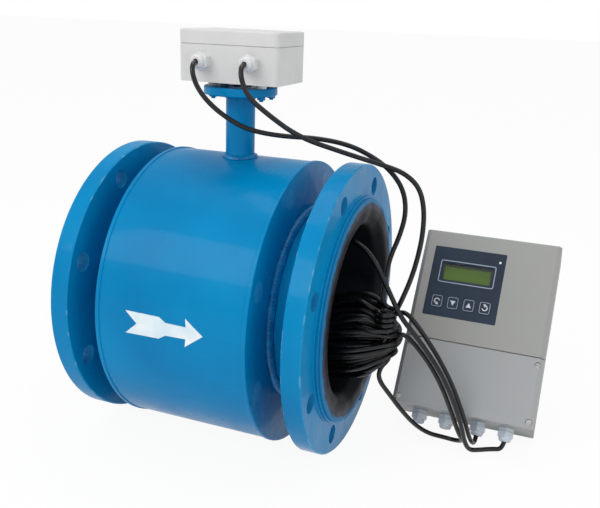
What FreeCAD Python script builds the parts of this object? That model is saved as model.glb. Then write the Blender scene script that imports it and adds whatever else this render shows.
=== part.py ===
import FreeCAD, Part
import math
import os

from FreeCAD import Vector

# Electromagnetic flow meter, remote type: a flanged DN 200 sensor with a junction box on a
# column, two cables wound into a hank that is stowed in the bore, and a wall transmitter
# that stands leaning back on its own wall bracket.
#
# Millimetres.  The origin is the middle of the meter on the pipe's axis.
# +X is the flow direction, +Z is up and -Y is the side that carries the arrow.

# ---- sensor: flanges, tube and liner -------------------------------------------------
flange_od = 340.0
flange_thickness = 22.0
flange_face_x = 149.0          # from the middle to a flange's front plane
boss_radius = 134.0            # raised face
boss_height = 4.5
rim_chamfer = 1.2
bolt_circle = 295.0
bolt_count = 8
bolt_hole_radius = 11.0
tube_od = 219.1
tube_wall = 6.0
tube_end_chamfer = 4.6         # inside each end, under the liner's rounded mouth
weld_seat = 0.15               # radial gap that a weld bead bridges
liner_wall = 4.0
liner_clearance = 0.05
collar_thickness = 3.0         # liner turned out over the raised face
collar_radius = 131.5
mouth_radius = 14.0            # rounding where the bore meets the collar

# ---- sensor: coil drum ---------------------------------------------------------------
drum_od = 333.0
drum_wall = 3.0
drum_inlet_x = -92.0           # outer faces of the two end plates
drum_outlet_x = 88.0
end_plate_thickness = 5.0
end_plate_lip = 1.2            # the plates stand a little proud of the shell
lip_round = 1.0
weld_leg = 7.0

# ---- sensor: field coils and electrodes ----------------------------------------------
coil_gap = 0.3
coil_thickness = 15.0
coil_length = 118.0            # along the pipe
coil_width = 150.0             # across the pipe
coil_band = 26.0
coil_corner = 34.0
core_rise = 19.0               # height of the pole cores over the tube
yoke_wall = 2.0
yoke_length = 112.0
electrode_radius = 4.0
electrode_head_radius = 8.0
electrode_head_height = 3.0
electrode_proud = 0.8          # the head stands into the bore
bush_wall = 2.5
bush_rise = 9.0                # how far a bush stands out of the tube
nut_across = 16.0
nut_height = 5.0

# ---- column and the disc on top of it ------------------------------------------------
column_od = 33.7
column_wall = 3.2
disc_radius = 42.0
disc_thickness = 9.0
disc_top_z = 247.5
disc_chamfer = 0.8
spacer_height = 5.5
spacer_radius = 6.0

# ---- junction box --------------------------------------------------------------------
box_middle_x = 2.0             # the box sits a little off the column's axis
box_length = 120.0
box_width = 80.0
box_height = 56.0
box_corner = 7.0
box_wall = 3.0
lid_height = 15.0
lid_seam = 0.8
lid_edge_round = 1.8
box_screw_inset = 7.2
box_fixing_spread = (30.0, 14.0)
box_gland_spread = 28.8        # each gland from the box's middle
box_gland_rise = 22.7          # gland axis above the box's underside
box_terminal_y = 20.0          # front of the terminal row

# ---- cable glands --------------------------------------------------------------------
gland_thread_radius = 7.5
gland_across = 18.0
gland_hex_height = 4.0
gland_barrel_radius = 7.0
gland_barrel_height = 4.0
gland_nut_height = 13.0
gland_nut_wall = 1.6
gland_mouth_clearance = 0.3
gland_seal_height = 2.3
gland_lock_height = 4.0

# ---- transmitter ---------------------------------------------------------------------
case_width = 170.6
case_height = 231.0
case_depth = 78.0
case_lean = 36.6               # degrees back from upright
case_left_x = 195.4
case_front_y = 31.0            # where the lower front edge stands
case_wall = 4.0
case_corner = 3.0
cover_depth = 16.0
cover_face = 4.5
cover_wall = 3.5
cover_bevel = 5.3
gasket_thickness = 1.6
seam_height = 85.3             # between the terminal cover and the display cover
seam_gap = 1.4
terminal_screw_inset = (6.6, 7.5)
terminal_screw_radius = 2.0
terminal_head_radius = 3.3

panel_box = (15.6, 115.6, 106.6, 209.2)     # keypad panel: left, bottom, right, top
panel_thickness = 2.0
panel_proud = 0.0
panel_corner = 1.5
panel_clearance = 0.2
window_box = (29.8, 164.6, 93.0, 188.0)
window_thickness = 1.0
glass_box = (32.4, 166.4, 90.6, 184.8)      # the part of the display that lights up
key_size = (14.0, 16.0)
key_first = 30.9
key_pitch = 20.0
key_row = 135.2
key_corner = 2.4
key_clearance = 0.3
key_proud = 0.6
key_flange = 1.2
key_travel = 0.6
key_names = ("menu_key", "down_key", "up_key", "enter_key")
lamp_place = (99.8, 197.6)
lamp_radius = 1.5
board_depth = 9.4              # from the cover's face plane to the board
board_thickness = 1.6
board_margin = 7.0
standoff_radius = 3.0

case_gland_places = (31.8, 65.8, 104.8, 138.8)
case_gland_depth = 39.0
case_gland_nut_height = 12.0
terminal_block = (25.0, 44.0, 145.6, 62.0)  # left, bottom, right, top on the back wall
terminal_block_depth = 18.0
terminal_ways = 12

bracket_stand_off = 40.0
bracket_sheet = 3.0
bracket_width = 90.0
bracket_flange = 20.0
bracket_top = 186.0
bracket_bolt_rows = (62.0, 158.0)
bracket_slot = (10.0, 44.0)    # width and length of a slot in the web
bracket_bolt_radius = 3.0

# ---- arrow on the drum ---------------------------------------------------------------
arrow_tip_x = 39.5
arrow_length = 93.0
arrow_height_z = 10.0          # middle line above the pipe's axis
arrow_sheet = 0.4

# ---- cables --------------------------------------------------------------------------
cable_diameter = 5.6
hank_seat = 0.5                # the hank's gap over the liner
hank_stations = (
    # place along X, half height, half width, rise of the middle over its resting height
    (-72.0, 9.0, 8.0, 0.0),
    (-63.0, 29.0, 25.0, 0.5),
    (-40.0, 40.0, 35.0, 0.5),
    (10.0, 45.0, 40.0, 0.5),
    (75.0, 47.0, 41.0, 2.0),
    (120.0, 49.0, 42.0, 8.0),
    (155.0, 50.0, 42.0, 16.0),
    (186.0, 46.0, 38.0, 24.0),
    (204.0, 30.0, 25.0, 31.0),
    (212.0, 9.0, 8.0, 34.0),
)
hank_rest_height = 45.0        # half height of the hank where it lies on the liner
hank_sides = 24

# ---- worked-out values ---------------------------------------------------------------
floor_z = -flange_od / 2
boss_x = flange_face_x + boss_height
liner_face_x = boss_x + collar_thickness
tube_radius = tube_od / 2
tube_bore = tube_radius - tube_wall
liner_bore = tube_bore - liner_clearance - liner_wall
drum_radius = drum_od / 2
drum_middle_x = (drum_inlet_x + drum_outlet_x) / 2
coil_radius = tube_radius + coil_gap
core_radius = tube_radius + core_rise
yoke_radius = core_radius + coil_gap
column_radius = column_od / 2
disc_base_z = disc_top_z - disc_thickness
box_base_z = disc_top_z + spacer_height
box_top_z = box_base_z + box_height
lid_base_z = box_top_z - lid_height
cable_radius = cable_diameter / 2
lean = math.radians(case_lean)
case_base_z = floor_z + case_depth * math.sin(lean)
bracket_foot = bracket_stand_off * math.tan(lean)

X_AXIS = Vector(1, 0, 0)
Y_AXIS = Vector(0, 1, 0)
Z_AXIS = Vector(0, 0, 1)


# ---- helpers -------------------------------------------------------------------------
def revolve_x(profile):
    """Turn a closed outline of (x, radius) points about the pipe's axis."""
    points = [Vector(x, 0, r) for x, r in profile]
    face = Part.Face(Part.makePolygon(points + points[:1]))
    return face.revolve(Vector(0, 0, 0), X_AXIS, 360)


def tube_x(x0, x1, outer, inner):
    """A plain ring round the pipe's axis from x0 to x1."""
    ring = Part.makeCylinder(outer, x1 - x0, Vector(x0, 0, 0), X_AXIS)
    if inner > 0:
        ring = ring.cut(Part.makeCylinder(inner, x1 - x0, Vector(x0, 0, 0), X_AXIS))
    return ring


def rounded_outline(u0, v0, u1, v1, radius):
    """A rectangle in the XY plane with rounded corners, as a wire."""
    radius = min(radius, 0.49 * (u1 - u0), 0.49 * (v1 - v0))
    if radius <= 0:
        corners = [Vector(u0, v0, 0), Vector(u1, v0, 0), Vector(u1, v1, 0), Vector(u0, v1, 0)]
        return Part.makePolygon(corners + corners[:1])
    edges = []
    middles = ((u1 - radius, v0 + radius, -90), (u1 - radius, v1 - radius, 0),
               (u0 + radius, v1 - radius, 90), (u0 + radius, v0 + radius, 180))
    arcs = [Part.makeCircle(radius, Vector(u, v, 0), Z_AXIS, start, start + 90)
            for u, v, start in middles]
    for index, arc in enumerate(arcs):
        following = arcs[(index + 1) % 4]
        edges.append(arc)
        edges.append(Part.makeLine(arc.Vertexes[-1].Point, following.Vertexes[0].Point))
    return Part.Wire(Part.__sortEdges__(edges))


def plate_z(u0, v0, u1, v1, z0, z1, radius=0.0):
    """A rounded block: its outline lies in XY and it rises from z0 to z1."""
    face = Part.Face(rounded_outline(u0, v0, u1, v1, radius))
    block = face.extrude(Vector(0, 0, z1 - z0))
    block.translate(Vector(0, 0, z0))
    return block


def plate_y(x0, z0, x1, z1, y0, y1, radius=0.0):
    """A rounded block: its outline lies in XZ and it runs from y0 to y1."""
    block = plate_z(x0, z0, x1, z1, -y1, -y0, radius)
    block.rotate(Vector(0, 0, 0), X_AXIS, 90)
    return block


def hexagon(across, height):
    """A hexagonal prism on the XY plane, round the Z axis."""
    corner = across / 2 / math.cos(math.pi / 6)
    turns = [math.pi / 6 + k * math.pi / 3 for k in range(6)]
    points = [Vector(corner * math.cos(t), corner * math.sin(t), 0) for t in turns]
    return Part.Face(Part.makePolygon(points + points[:1])).extrude(Vector(0, 0, height))


def point_along(shape, place, direction):
    """Turn a shape made round +Z so that it points along direction, and put it at place."""
    turned = shape.copy()
    pose = FreeCAD.Placement(place, FreeCAD.Rotation(Z_AXIS, direction))
    turned.Placement = pose.multiply(shape.Placement)
    return turned


def corners_of(x0, z0, x1, z1, inset_x, inset_z):
    """The four places inset from a rectangle's corners."""
    return [(x, z) for x in (x0 + inset_x, x1 - inset_x) for z in (z0 + inset_z, z1 - inset_z)]


def group(shapes):
    """Several separate solids in one node."""
    return Part.makeCompound(shapes)


# ---- sensor --------------------------------------------------------------------------
def flange(side):
    """A welding neck ring with its raised face and bolt holes; side is -1 or +1."""
    bore = tube_radius + weld_seat
    rear = flange_face_x - flange_thickness
    rim = flange_od / 2
    body = revolve_x([
        (rear, bore), (rear, rim - rim_chamfer), (rear + rim_chamfer, rim),
        (flange_face_x - rim_chamfer, rim), (flange_face_x, rim - rim_chamfer),
        (flange_face_x, boss_radius + 1.0), (flange_face_x + 1.0, boss_radius),
        (boss_x - 0.8, boss_radius), (boss_x, boss_radius - 0.8), (boss_x, bore)])
    for index in range(bolt_count):
        turn = math.pi * (2 * index + 1) / bolt_count
        place = Vector(rear - 1, bolt_circle / 2 * math.cos(turn), bolt_circle / 2 * math.sin(turn))
        body = body.cut(Part.makeCylinder(bolt_hole_radius, flange_thickness + 2, place, X_AXIS))
    if side < 0:
        body.rotate(Vector(0, 0, 0), Z_AXIS, 180)
    return body


def electrode_sides():
    """The two electrodes lie level with the pipe's axis, front and rear."""
    return ((-1, Vector(0, -1, 0)), (1, Vector(0, 1, 0)))


def measuring_tube():
    """The stainless tube, chamfered inside both ends, with a hole for each electrode's bush."""
    half = [(boss_x, tube_radius), (boss_x, tube_bore + tube_end_chamfer),
            (boss_x - tube_end_chamfer, tube_bore)]
    tube = revolve_x(half + [(-x, r) for x, r in reversed(half)])
    hole = electrode_radius + bush_wall + weld_seat
    for _, direction in electrode_sides():
        tube = tube.cut(Part.makeCylinder(hole, tube_radius + 5, Vector(0, 0, 0), direction))
    return tube


def rubber_liner():
    """The liner: a sleeve turned out over both raised faces, with rounded mouths."""
    outer = tube_bore - liner_clearance
    slack = liner_clearance * math.tan(math.radians(22.5))
    mouth = liner_bore + mouth_radius
    half = [(boss_x - tube_end_chamfer + slack, outer),
            (boss_x, outer + tube_end_chamfer - slack), (boss_x, collar_radius),
            (liner_face_x - 1.0, collar_radius), (liner_face_x, collar_radius - 1.0),
            (liner_face_x, mouth)]
    steps = 6
    for index in range(1, steps + 1):
        turn = math.pi / 2 * index / steps
        half.append((liner_face_x - mouth_radius + mouth_radius * math.cos(turn),
                     mouth - mouth_radius * math.sin(turn)))
    mirrored = [(-x, r) for x, r in reversed(half)]
    sleeve = revolve_x(half + mirrored)
    seat = liner_bore + electrode_head_height - electrode_proud
    for _, direction in electrode_sides():
        recess = Part.makeCylinder(electrode_head_radius + weld_seat, seat, Vector(0, 0, 0), direction)
        stem = Part.makeCylinder(electrode_radius + weld_seat, tube_radius, Vector(0, 0, 0), direction)
        sleeve = sleeve.cut(recess.fuse(stem))
    return sleeve


def drum_shell():
    """The rolled sheet over the coils, open under the column for the wires."""
    shell = tube_x(drum_inlet_x + end_plate_thickness, drum_outlet_x - end_plate_thickness,
                   drum_radius, drum_radius - drum_wall)
    way = Part.makeCylinder(column_radius - column_wall, drum_radius + 5, Vector(0, 0, 0), Z_AXIS)
    return shell.cut(way)


def end_plate(x0):
    """An annular end plate whose outer edge forms the drum's lip."""
    x1 = x0 + end_plate_thickness
    inner = tube_radius + weld_seat
    outer = drum_radius + end_plate_lip
    return revolve_x([(x0, inner), (x0, outer - lip_round), (x0 + lip_round * 0.3, outer - lip_round * 0.3),
                      (x0 + lip_round, outer), (x1 - lip_round, outer),
                      (x1 - lip_round * 0.3, outer - lip_round * 0.3), (x1, outer - lip_round),
                      (x1, inner)])


def neck_weld(x, side):
    """A fillet weld round the tube against a face at x; side is where the bead lies."""
    inner = tube_radius + weld_seat
    bulge = weld_leg * 0.62
    return revolve_x([(x, inner), (x, inner + weld_leg), (x + side * bulge, inner + bulge),
                      (x + side * weld_leg, inner)])


def column_weld(z, side):
    """A fillet weld round the column against a face at z; side is where the bead lies."""
    leg = weld_leg * 0.6
    inner = column_radius + weld_seat
    points = [Vector(inner, 0, z), Vector(inner + leg, 0, z),
              Vector(inner + leg * 0.6, 0, z + side * leg * 0.6), Vector(inner, 0, z + side * leg)]
    face = Part.Face(Part.makePolygon(points + points[:1]))
    return face.revolve(Vector(0, 0, 0), Z_AXIS, 360)


def weld_beads():
    """The weld beads that show: four round the tube and two round the column."""
    rear = flange_face_x - flange_thickness
    beads = [neck_weld(-rear, 1), neck_weld(drum_inlet_x, -1), neck_weld(drum_outlet_x, 1),
             neck_weld(rear, -1)]
    drum = Part.makeCylinder(drum_radius, drum_outlet_x - drum_inlet_x, Vector(drum_inlet_x, 0, 0), X_AXIS)
    lower = column_weld(drum_radius - 0.9, 1).cut(drum)
    beads.append(lower)
    beads.append(column_weld(disc_base_z, -1))
    return group(beads)


def coil_prism(inset, side):
    """The upright racetrack that cuts a saddle out of a ring; inset narrows it."""
    half_length = coil_length / 2 - inset
    half_width = coil_width / 2 - inset
    corner = max(coil_corner - inset, 2.0)
    prism = plate_z(-half_length, -half_width, half_length, half_width, 0, core_radius + 20, corner)
    prism.translate(Vector(drum_middle_x, 0, 0))
    if side < 0:
        prism.rotate(Vector(0, 0, 0), X_AXIS, 180)
    return prism


def saddle_coil(side):
    """A racetrack coil bent round the tube, above or below it."""
    ring = tube_x(-coil_length, coil_length, coil_radius + coil_thickness, coil_radius)
    return ring.common(coil_prism(0, side).cut(coil_prism(coil_band, side)))


def pole_core(side):
    """The laminated core inside a saddle coil."""
    ring = tube_x(-coil_length, coil_length, core_radius, coil_radius)
    return ring.common(coil_prism(coil_band + 1, side))


def return_yoke():
    """The thin steel wrap that closes the field outside the coils."""
    half = yoke_length / 2
    wrap = tube_x(drum_middle_x - half, drum_middle_x + half, yoke_radius + yoke_wall, yoke_radius)
    for _, direction in electrode_sides():
        wrap = wrap.cut(Part.makeCylinder(nut_across, drum_radius, Vector(0, 0, 0), direction))
    return wrap


def electrode(direction):
    """A round-headed stainless electrode that passes through the liner and the tube."""
    head_start = liner_bore - electrode_proud
    head = Part.makeCylinder(electrode_head_radius, electrode_head_height, Vector(0, 0, head_start))
    stem_end = tube_radius + bush_rise + nut_height + 5
    stem = Part.makeCylinder(electrode_radius, stem_end - head_start, Vector(0, 0, head_start))
    return point_along(head.fuse(stem).removeSplitter(), Vector(0, 0, 0), direction)


def electrode_bush(direction):
    """The insulating bush between an electrode and the tube, on the liner's back."""
    start = tube_bore - liner_clearance
    bush = Part.makeCylinder(electrode_radius + bush_wall, tube_radius + bush_rise - start,
                             Vector(0, 0, start))
    bush = bush.cut(Part.makeCylinder(electrode_radius + weld_seat, tube_radius + 30, Vector(0, 0, 0)))
    curved = Part.makeCylinder(start, 60, Vector(0, -30, 0), Y_AXIS)
    bush = bush.cut(curved)
    return point_along(bush, Vector(0, 0, 0), direction)


def electrode_nut(direction):
    """The nut that pulls an electrode's head against the liner."""
    nut = hexagon(nut_across, nut_height)
    nut = nut.cut(Part.makeCylinder(electrode_radius + weld_seat, nut_height))
    nut.translate(Vector(0, 0, tube_radius + bush_rise))
    return point_along(nut, Vector(0, 0, 0), direction)


def flow_arrow():
    """The flat arrow laid on the drum: a fletched tail and a swept head, tip towards +X."""
    tip = arrow_tip_x
    tail = arrow_tip_x - arrow_length
    half = [(tip, 0.0), (tip - 21.0, 15.5), (tip - 20.0, 6.5), (tip - 44.0, 7.0),
            (tip - 52.0, 12.0), (tail, 12.5), (tail + 14.0, 0.0)]
    outline = half + [(x, -z) for x, z in reversed(half[1:-1])]
    points = [Vector(x, 0, arrow_height_z + z) for x, z in outline]
    prism = Part.Face(Part.makePolygon(points + points[:1])).extrude(Vector(0, -drum_od, 0))
    skin = tube_x(drum_inlet_x + 8, drum_outlet_x - 8, drum_radius + arrow_sheet + weld_seat,
                  drum_radius + weld_seat)
    return prism.common(skin)


# ---- column and disc -----------------------------------------------------------------
def column_pipe():
    """The pipe that carries the junction box; its foot is cut to sit on the drum."""
    pipe = Part.makeCylinder(column_radius, disc_base_z)
    pipe = pipe.cut(Part.makeCylinder(column_radius - column_wall, disc_base_z))
    drum = Part.makeCylinder(drum_radius + weld_seat, drum_od, Vector(-drum_radius, 0, 0), X_AXIS)
    return pipe.cut(drum)


def fixing_places():
    """Where the box is screwed to the disc."""
    spread_x, spread_y = box_fixing_spread
    return [(box_middle_x + x, y) for x in (-spread_x, spread_x) for y in (-spread_y, spread_y)]


def support_disc():
    """The round plate on the column that the box is screwed to, open for the wires."""
    edge = disc_radius - disc_chamfer
    points = [Vector(0, 0, disc_base_z), Vector(edge, 0, disc_base_z),
              Vector(disc_radius, 0, disc_base_z + disc_chamfer),
              Vector(disc_radius, 0, disc_top_z - disc_chamfer), Vector(edge, 0, disc_top_z),
              Vector(0, 0, disc_top_z)]
    face = Part.Face(Part.makePolygon(points + points[:1]))
    disc = face.revolve(Vector(0, 0, 0), Z_AXIS, 360)
    disc = disc.cut(Part.makeCylinder(column_radius - column_wall, box_base_z))
    for x, y in fixing_places():
        disc = disc.cut(Part.makeCylinder(2.7, box_base_z, Vector(x, y, 0)))
    return disc


def box_spacers():
    """The washers that hold the box clear of the disc."""
    spacers = []
    for x, y in fixing_places():
        ring = Part.makeCylinder(spacer_radius, spacer_height, Vector(x, y, disc_top_z))
        spacers.append(ring.cut(Part.makeCylinder(2.7, spacer_height, Vector(x, y, disc_top_z))))
    return group(spacers)


# ---- junction box --------------------------------------------------------------------
def box_outline(inset, z0, z1):
    """The box's rounded outline, narrowed by inset, between two heights."""
    half_x = box_length / 2 - inset
    half_y = box_width / 2 - inset
    return plate_z(box_middle_x - half_x, -half_y, box_middle_x + half_x, half_y, z0, z1,
                   max(box_corner - inset, 1.0))


def box_posts(radius, z0, z1):
    """The four corner posts that take the lid's screws."""
    half_x = box_length / 2
    half_y = box_width / 2
    places = corners_of(box_middle_x - half_x, -half_y, box_middle_x + half_x, half_y,
                        box_screw_inset, box_screw_inset)
    return [Part.makeCylinder(radius, z1 - z0, Vector(x, y, z0)) for x, y in places]


def junction_box_base():
    """The lower shell: walls, floor, corner posts, and holes for glands and wires."""
    top = lid_base_z - lid_seam
    shell = box_outline(0, box_base_z, top)
    shell = shell.cut(box_outline(box_wall, box_base_z + box_wall, top))
    for post in box_posts(4.5, box_base_z + box_wall, top - 2.0):
        shell = shell.fuse(post)
    for hole in box_posts(1.6, box_base_z + 12, top):
        shell = shell.cut(hole)
    for place in box_gland_places():
        hole = Part.makeCylinder(gland_thread_radius + 0.2, box_wall + 2, place - Y_AXIS, Y_AXIS)
        shell = shell.cut(hole)
    for x, y in fixing_places():
        shell = shell.cut(Part.makeCylinder(2.7, box_wall + 2, Vector(x, y, box_base_z - 1)))
    way = Part.makeCylinder(column_radius - column_wall, box_wall + 2, Vector(0, 0, box_base_z - 1))
    return shell.cut(way).removeSplitter()


def junction_box_gasket():
    """The seal pressed between base and lid, inside the seam."""
    low = lid_base_z - lid_seam
    return box_outline(1.0, low, lid_base_z).cut(box_outline(box_wall, low, lid_base_z))


def junction_box_lid():
    """The lid, rounded along its top edge, with sunk screw seats."""
    lid = box_outline(0, lid_base_z, box_top_z)
    top_edges = [edge for edge in lid.Edges
                 if all(abs(v.Z - box_top_z) < 0.01 for v in edge.Vertexes)]
    lid = lid.makeFillet(lid_edge_round, top_edges)
    lid = lid.cut(box_outline(box_wall, lid_base_z, box_top_z - box_wall))
    for boss in box_posts(4.5, lid_base_z, box_top_z - box_wall):
        lid = lid.fuse(boss)
    for seat in box_posts(3.6, box_top_z - 2.6, box_top_z + 1):
        lid = lid.cut(seat)
    for hole in box_posts(2.0, lid_base_z - 1, box_top_z):
        lid = lid.cut(hole)
    return lid.removeSplitter()


def lid_screws():
    """Four lid screws with slotted heads sunk in their seats."""
    screws = []
    heads = box_posts(3.3, box_top_z - 2.5, box_top_z - 0.4)
    shanks = box_posts(1.5, box_base_z + 14, box_top_z - 2.5)
    for head, shank in zip(heads, shanks):
        middle = head.BoundBox.Center
        slot = Part.makeBox(7.0, 0.9, 1.0, Vector(middle.x - 3.5, middle.y - 0.45, box_top_z - 1.2))
        screws.append(head.cut(slot).fuse(shank).removeSplitter())
    return group(screws)


def box_fixing_screws():
    """Screws with nuts that hold the box, its spacers and the disc together."""
    pieces = []
    floor = box_base_z + box_wall
    under = disc_base_z
    for x, y in fixing_places():
        head = Part.makeCylinder(4.2, 2.6, Vector(x, y, floor))
        shank = Part.makeCylinder(2.4, floor - under + 5.5, Vector(x, y, under - 5.5))
        nut = hexagon(8.0, 3.6)
        nut.translate(Vector(x, y, under - 3.6))
        pieces.append(head.fuse([shank, nut]).removeSplitter())
    return group(pieces)


def box_terminal_block():
    """The terminal row on the box's floor, with a pocket and a screw well at each way."""
    floor = box_base_z + box_wall
    left = box_middle_x - 28
    block = Part.makeBox(56, 16, 13, Vector(left, box_terminal_y, floor))
    for index in range(8):
        x = left + 3.5 + 7 * index
        block = block.cut(Part.makeCylinder(2.2, 5, Vector(x, box_terminal_y + 10, floor + 9)))
        block = block.cut(Part.makeBox(4.4, 7, 5, Vector(x - 2.2, box_terminal_y - 1, floor + 2)))
    return block


# ---- cable glands: made round +Z, with the wall's outer face at z = 0 -----------------
def gland_body(wall):
    """Thread through the wall, hexagon on its outer face, and the clamping barrel."""
    body = hexagon(gland_across, gland_hex_height)
    body = body.fuse(Part.makeCylinder(gland_barrel_radius, gland_barrel_height + gland_hex_height))
    inside = wall + gland_lock_height + 3
    body = body.fuse(Part.makeCylinder(gland_thread_radius, inside, Vector(0, 0, -inside)))
    bore = Part.makeCylinder(cable_radius + 1.2, inside + 40, Vector(0, 0, -inside))
    return body.cut(bore).removeSplitter()


def gland_seal(blank):
    """The rubber ring on the barrel's mouth; a blank one closes an unused gland."""
    start = gland_hex_height + gland_barrel_height
    seal = Part.makeCylinder(gland_barrel_radius - 0.8, gland_seal_height, Vector(0, 0, start))
    if blank:
        return seal
    return seal.cut(Part.makeCylinder(cable_radius - 0.6, gland_seal_height, Vector(0, 0, start)))


def gland_nut(height):
    """The domed clamping nut, ribbed by its hexagon, with a hole for the cable."""
    start = gland_hex_height + 0.4
    straight = height * 0.55
    nut = hexagon(gland_across, straight)
    corner = gland_across / 2 / math.cos(math.pi / 6)
    dome_points = [Vector(0, 0, 0), Vector(corner, 0, 0), Vector(corner, 0, straight - 1.2),
                   Vector(corner - 1.2, 0, straight), Vector(corner - 2.6, 0, straight + 0.2),
                   Vector(gland_barrel_radius + 0.3, 0, height - 1.6),
                   Vector(gland_barrel_radius - 1.2, 0, height), Vector(0, 0, height)]
    dome = Part.Face(Part.makePolygon(dome_points + dome_points[:1])).revolve(Vector(0, 0, 0), Z_AXIS, 360)
    cone = Part.makeCylinder(gland_across / 2 - 0.3, height)
    nut = nut.fuse(cone).common(dome)
    depth = gland_barrel_height + gland_seal_height - 0.2
    nut = nut.cut(Part.makeCylinder(gland_barrel_radius + 0.2, depth))
    nut = nut.cut(Part.makeCylinder(cable_radius + gland_mouth_clearance, height))
    nut.translate(Vector(0, 0, start))
    return nut.removeSplitter()


def gland_locknut(wall):
    """The nut inside the wall."""
    nut = hexagon(gland_across, gland_lock_height)
    nut = nut.cut(Part.makeCylinder(gland_thread_radius + weld_seat, gland_lock_height))
    nut.translate(Vector(0, 0, -wall - gland_lock_height))
    return nut


def box_gland_places():
    """Middle of each gland on the box's front wall, and the way it points."""
    return [Vector(box_middle_x + x, -box_width / 2, box_base_z + box_gland_rise)
            for x in (-box_gland_spread, box_gland_spread)]


def at_box_glands(shape):
    return group([point_along(shape, place, Vector(0, -1, 0)) for place in box_gland_places()])


# ---- transmitter: modelled upright, front at y = 0, then leaned back ------------------
def stand(shape):
    """Lean a transmitter piece back and put it in its place on the floor."""
    placed = shape.copy()
    placed.rotate(Vector(0, 0, 0), X_AXIS, -case_lean)
    placed.translate(Vector(case_left_x, case_front_y, case_base_z))
    return placed


def case_point(x, y, z):
    """The place in the meter's frame of a point given in the transmitter's own frame."""
    return Vector(case_left_x + x,
                  case_front_y + y * math.cos(lean) + z * math.sin(lean),
                  case_base_z - y * math.sin(lean) + z * math.cos(lean))


def terminal_screw_places():
    inset_x, inset_z = terminal_screw_inset
    return corners_of(0, 0, case_width, seam_height - seam_gap, inset_x, inset_z)


def transmitter_housing():
    """The cast case: back, walls, a partition at the seam, bosses and gland holes."""
    front = cover_depth + gasket_thickness
    case = plate_z(0, front, case_width, case_depth, 0, case_height, 0)
    upright = [edge for edge in case.Edges if abs(edge.Length - case_height) < 0.01
               and edge.Vertexes[0].Y > case_depth - 1]
    case = case.makeFillet(case_corner, upright)
    rooms = ((case_wall, seam_height - case_wall / 2),
             (seam_height + case_wall / 2, case_height - case_wall))
    for low, high in rooms:
        case = case.cut(plate_z(case_wall, front - 1, case_width - case_wall, case_depth - case_wall,
                                low, high, 2.0))
    for x, z in terminal_screw_places():
        boss = Part.makeCylinder(5.0, 24, Vector(x, front, z), Y_AXIS)
        inside = Part.makeBox(case_width, case_depth, seam_height)
        case = case.fuse(boss.common(inside))
        case = case.cut(Part.makeCylinder(terminal_screw_radius + 0.1, 20, Vector(x, front, z), Y_AXIS))
    for x in case_gland_places:
        hole = Part.makeCylinder(gland_thread_radius + 0.2, case_wall + 2, Vector(x, case_gland_depth, -1))
        case = case.cut(hole)
    for x, z in bracket_bolt_places():
        place = Vector(x, case_depth - case_wall, z)
        case = case.cut(Part.makeCylinder(bracket_bolt_radius + 0.1, case_wall, place, Y_AXIS))
    return case.removeSplitter()


def bevelled_cover(z0, z1, inset):
    """A block with bevelled uprights, narrowed all round by inset, for a cover's outside or inside."""
    back = cover_depth + (0.0 if inset == 0 else 1.0)
    face = inset * cover_face / cover_wall
    bevel = cover_bevel
    points = [Vector(inset, back, 0), Vector(inset, face + bevel, 0), Vector(inset + bevel, face, 0),
              Vector(case_width - inset - bevel, face, 0), Vector(case_width - inset, face + bevel, 0),
              Vector(case_width - inset, back, 0)]
    prism = Part.Face(Part.makePolygon(points + points[:1])).extrude(Vector(0, 0, z1 - z0 - 2 * inset))
    prism.translate(Vector(0, 0, z0 + inset))
    return prism


def key_places():
    return [(key_first + index * key_pitch, key_row) for index in range(len(key_names))]


def centred_plate(place, size, y0, y1, corner, grow=0.0):
    """A rounded plate across Y round a place on the front, grown by a clearance."""
    x, z = place
    half_x = size[0] / 2 + grow
    half_z = size[1] / 2 + grow
    return plate_y(x - half_x, z - half_z, x + half_x, z + half_z, y0, y1, corner + grow)


def display_cover():
    """The upper cover, with the keypad's pocket, the display opening and key ways."""
    low = seam_height + seam_gap / 2
    cover = bevelled_cover(low, case_height, 0)
    edge = [e for e in cover.Edges if abs(e.Vertexes[0].Z - case_height) < 0.01
            and abs(e.Vertexes[-1].Z - case_height) < 0.01 and e.BoundBox.YMax < 0.01]
    cover = cover.makeChamfer(1.6, edge)
    cover = cover.cut(bevelled_cover(low, case_height, cover_wall))
    x0, z0, x1, z1 = panel_box
    grow = panel_clearance
    pocket = plate_y(x0 - grow, z0 - grow, x1 + grow, z1 + grow, -1, panel_thickness, panel_corner)
    cover = cover.cut(pocket)
    x0, z0, x1, z1 = window_box
    cover = cover.cut(plate_y(x0 - 2, z0 - 2, x1 + 2, z1 + 2, 0, cover_face + 1))
    for place in key_places():
        cover = cover.cut(centred_plate(place, key_size, 0, cover_face + 1, key_corner,
                                        key_flange + key_clearance + 0.4))
    lamp = Part.makeCylinder(lamp_radius + 0.6, cover_face + 1,
                             Vector(lamp_place[0], 0, lamp_place[1]), Y_AXIS)
    return cover.cut(lamp)


def terminal_cover():
    """The lower cover, with sunk seats for its four screws."""
    high = seam_height - seam_gap / 2
    cover = bevelled_cover(0, high, 0)
    cover = cover.cut(bevelled_cover(0, high, cover_wall))
    for x, z in terminal_screw_places():
        post = Part.makeCylinder(5.0, cover_depth - cover_face, Vector(x, cover_face, z), Y_AXIS)
        cover = cover.fuse(post.common(bevelled_cover(0, high, 0)))
        seat = Part.makeCylinder(terminal_head_radius + 0.4, cover_bevel, Vector(x, -0.5, z), Y_AXIS)
        hole = Part.makeCylinder(terminal_screw_radius + 0.3, cover_depth, Vector(x, 0, z), Y_AXIS)
        cover = cover.cut(seat).cut(hole)
    return cover.removeSplitter()


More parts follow.
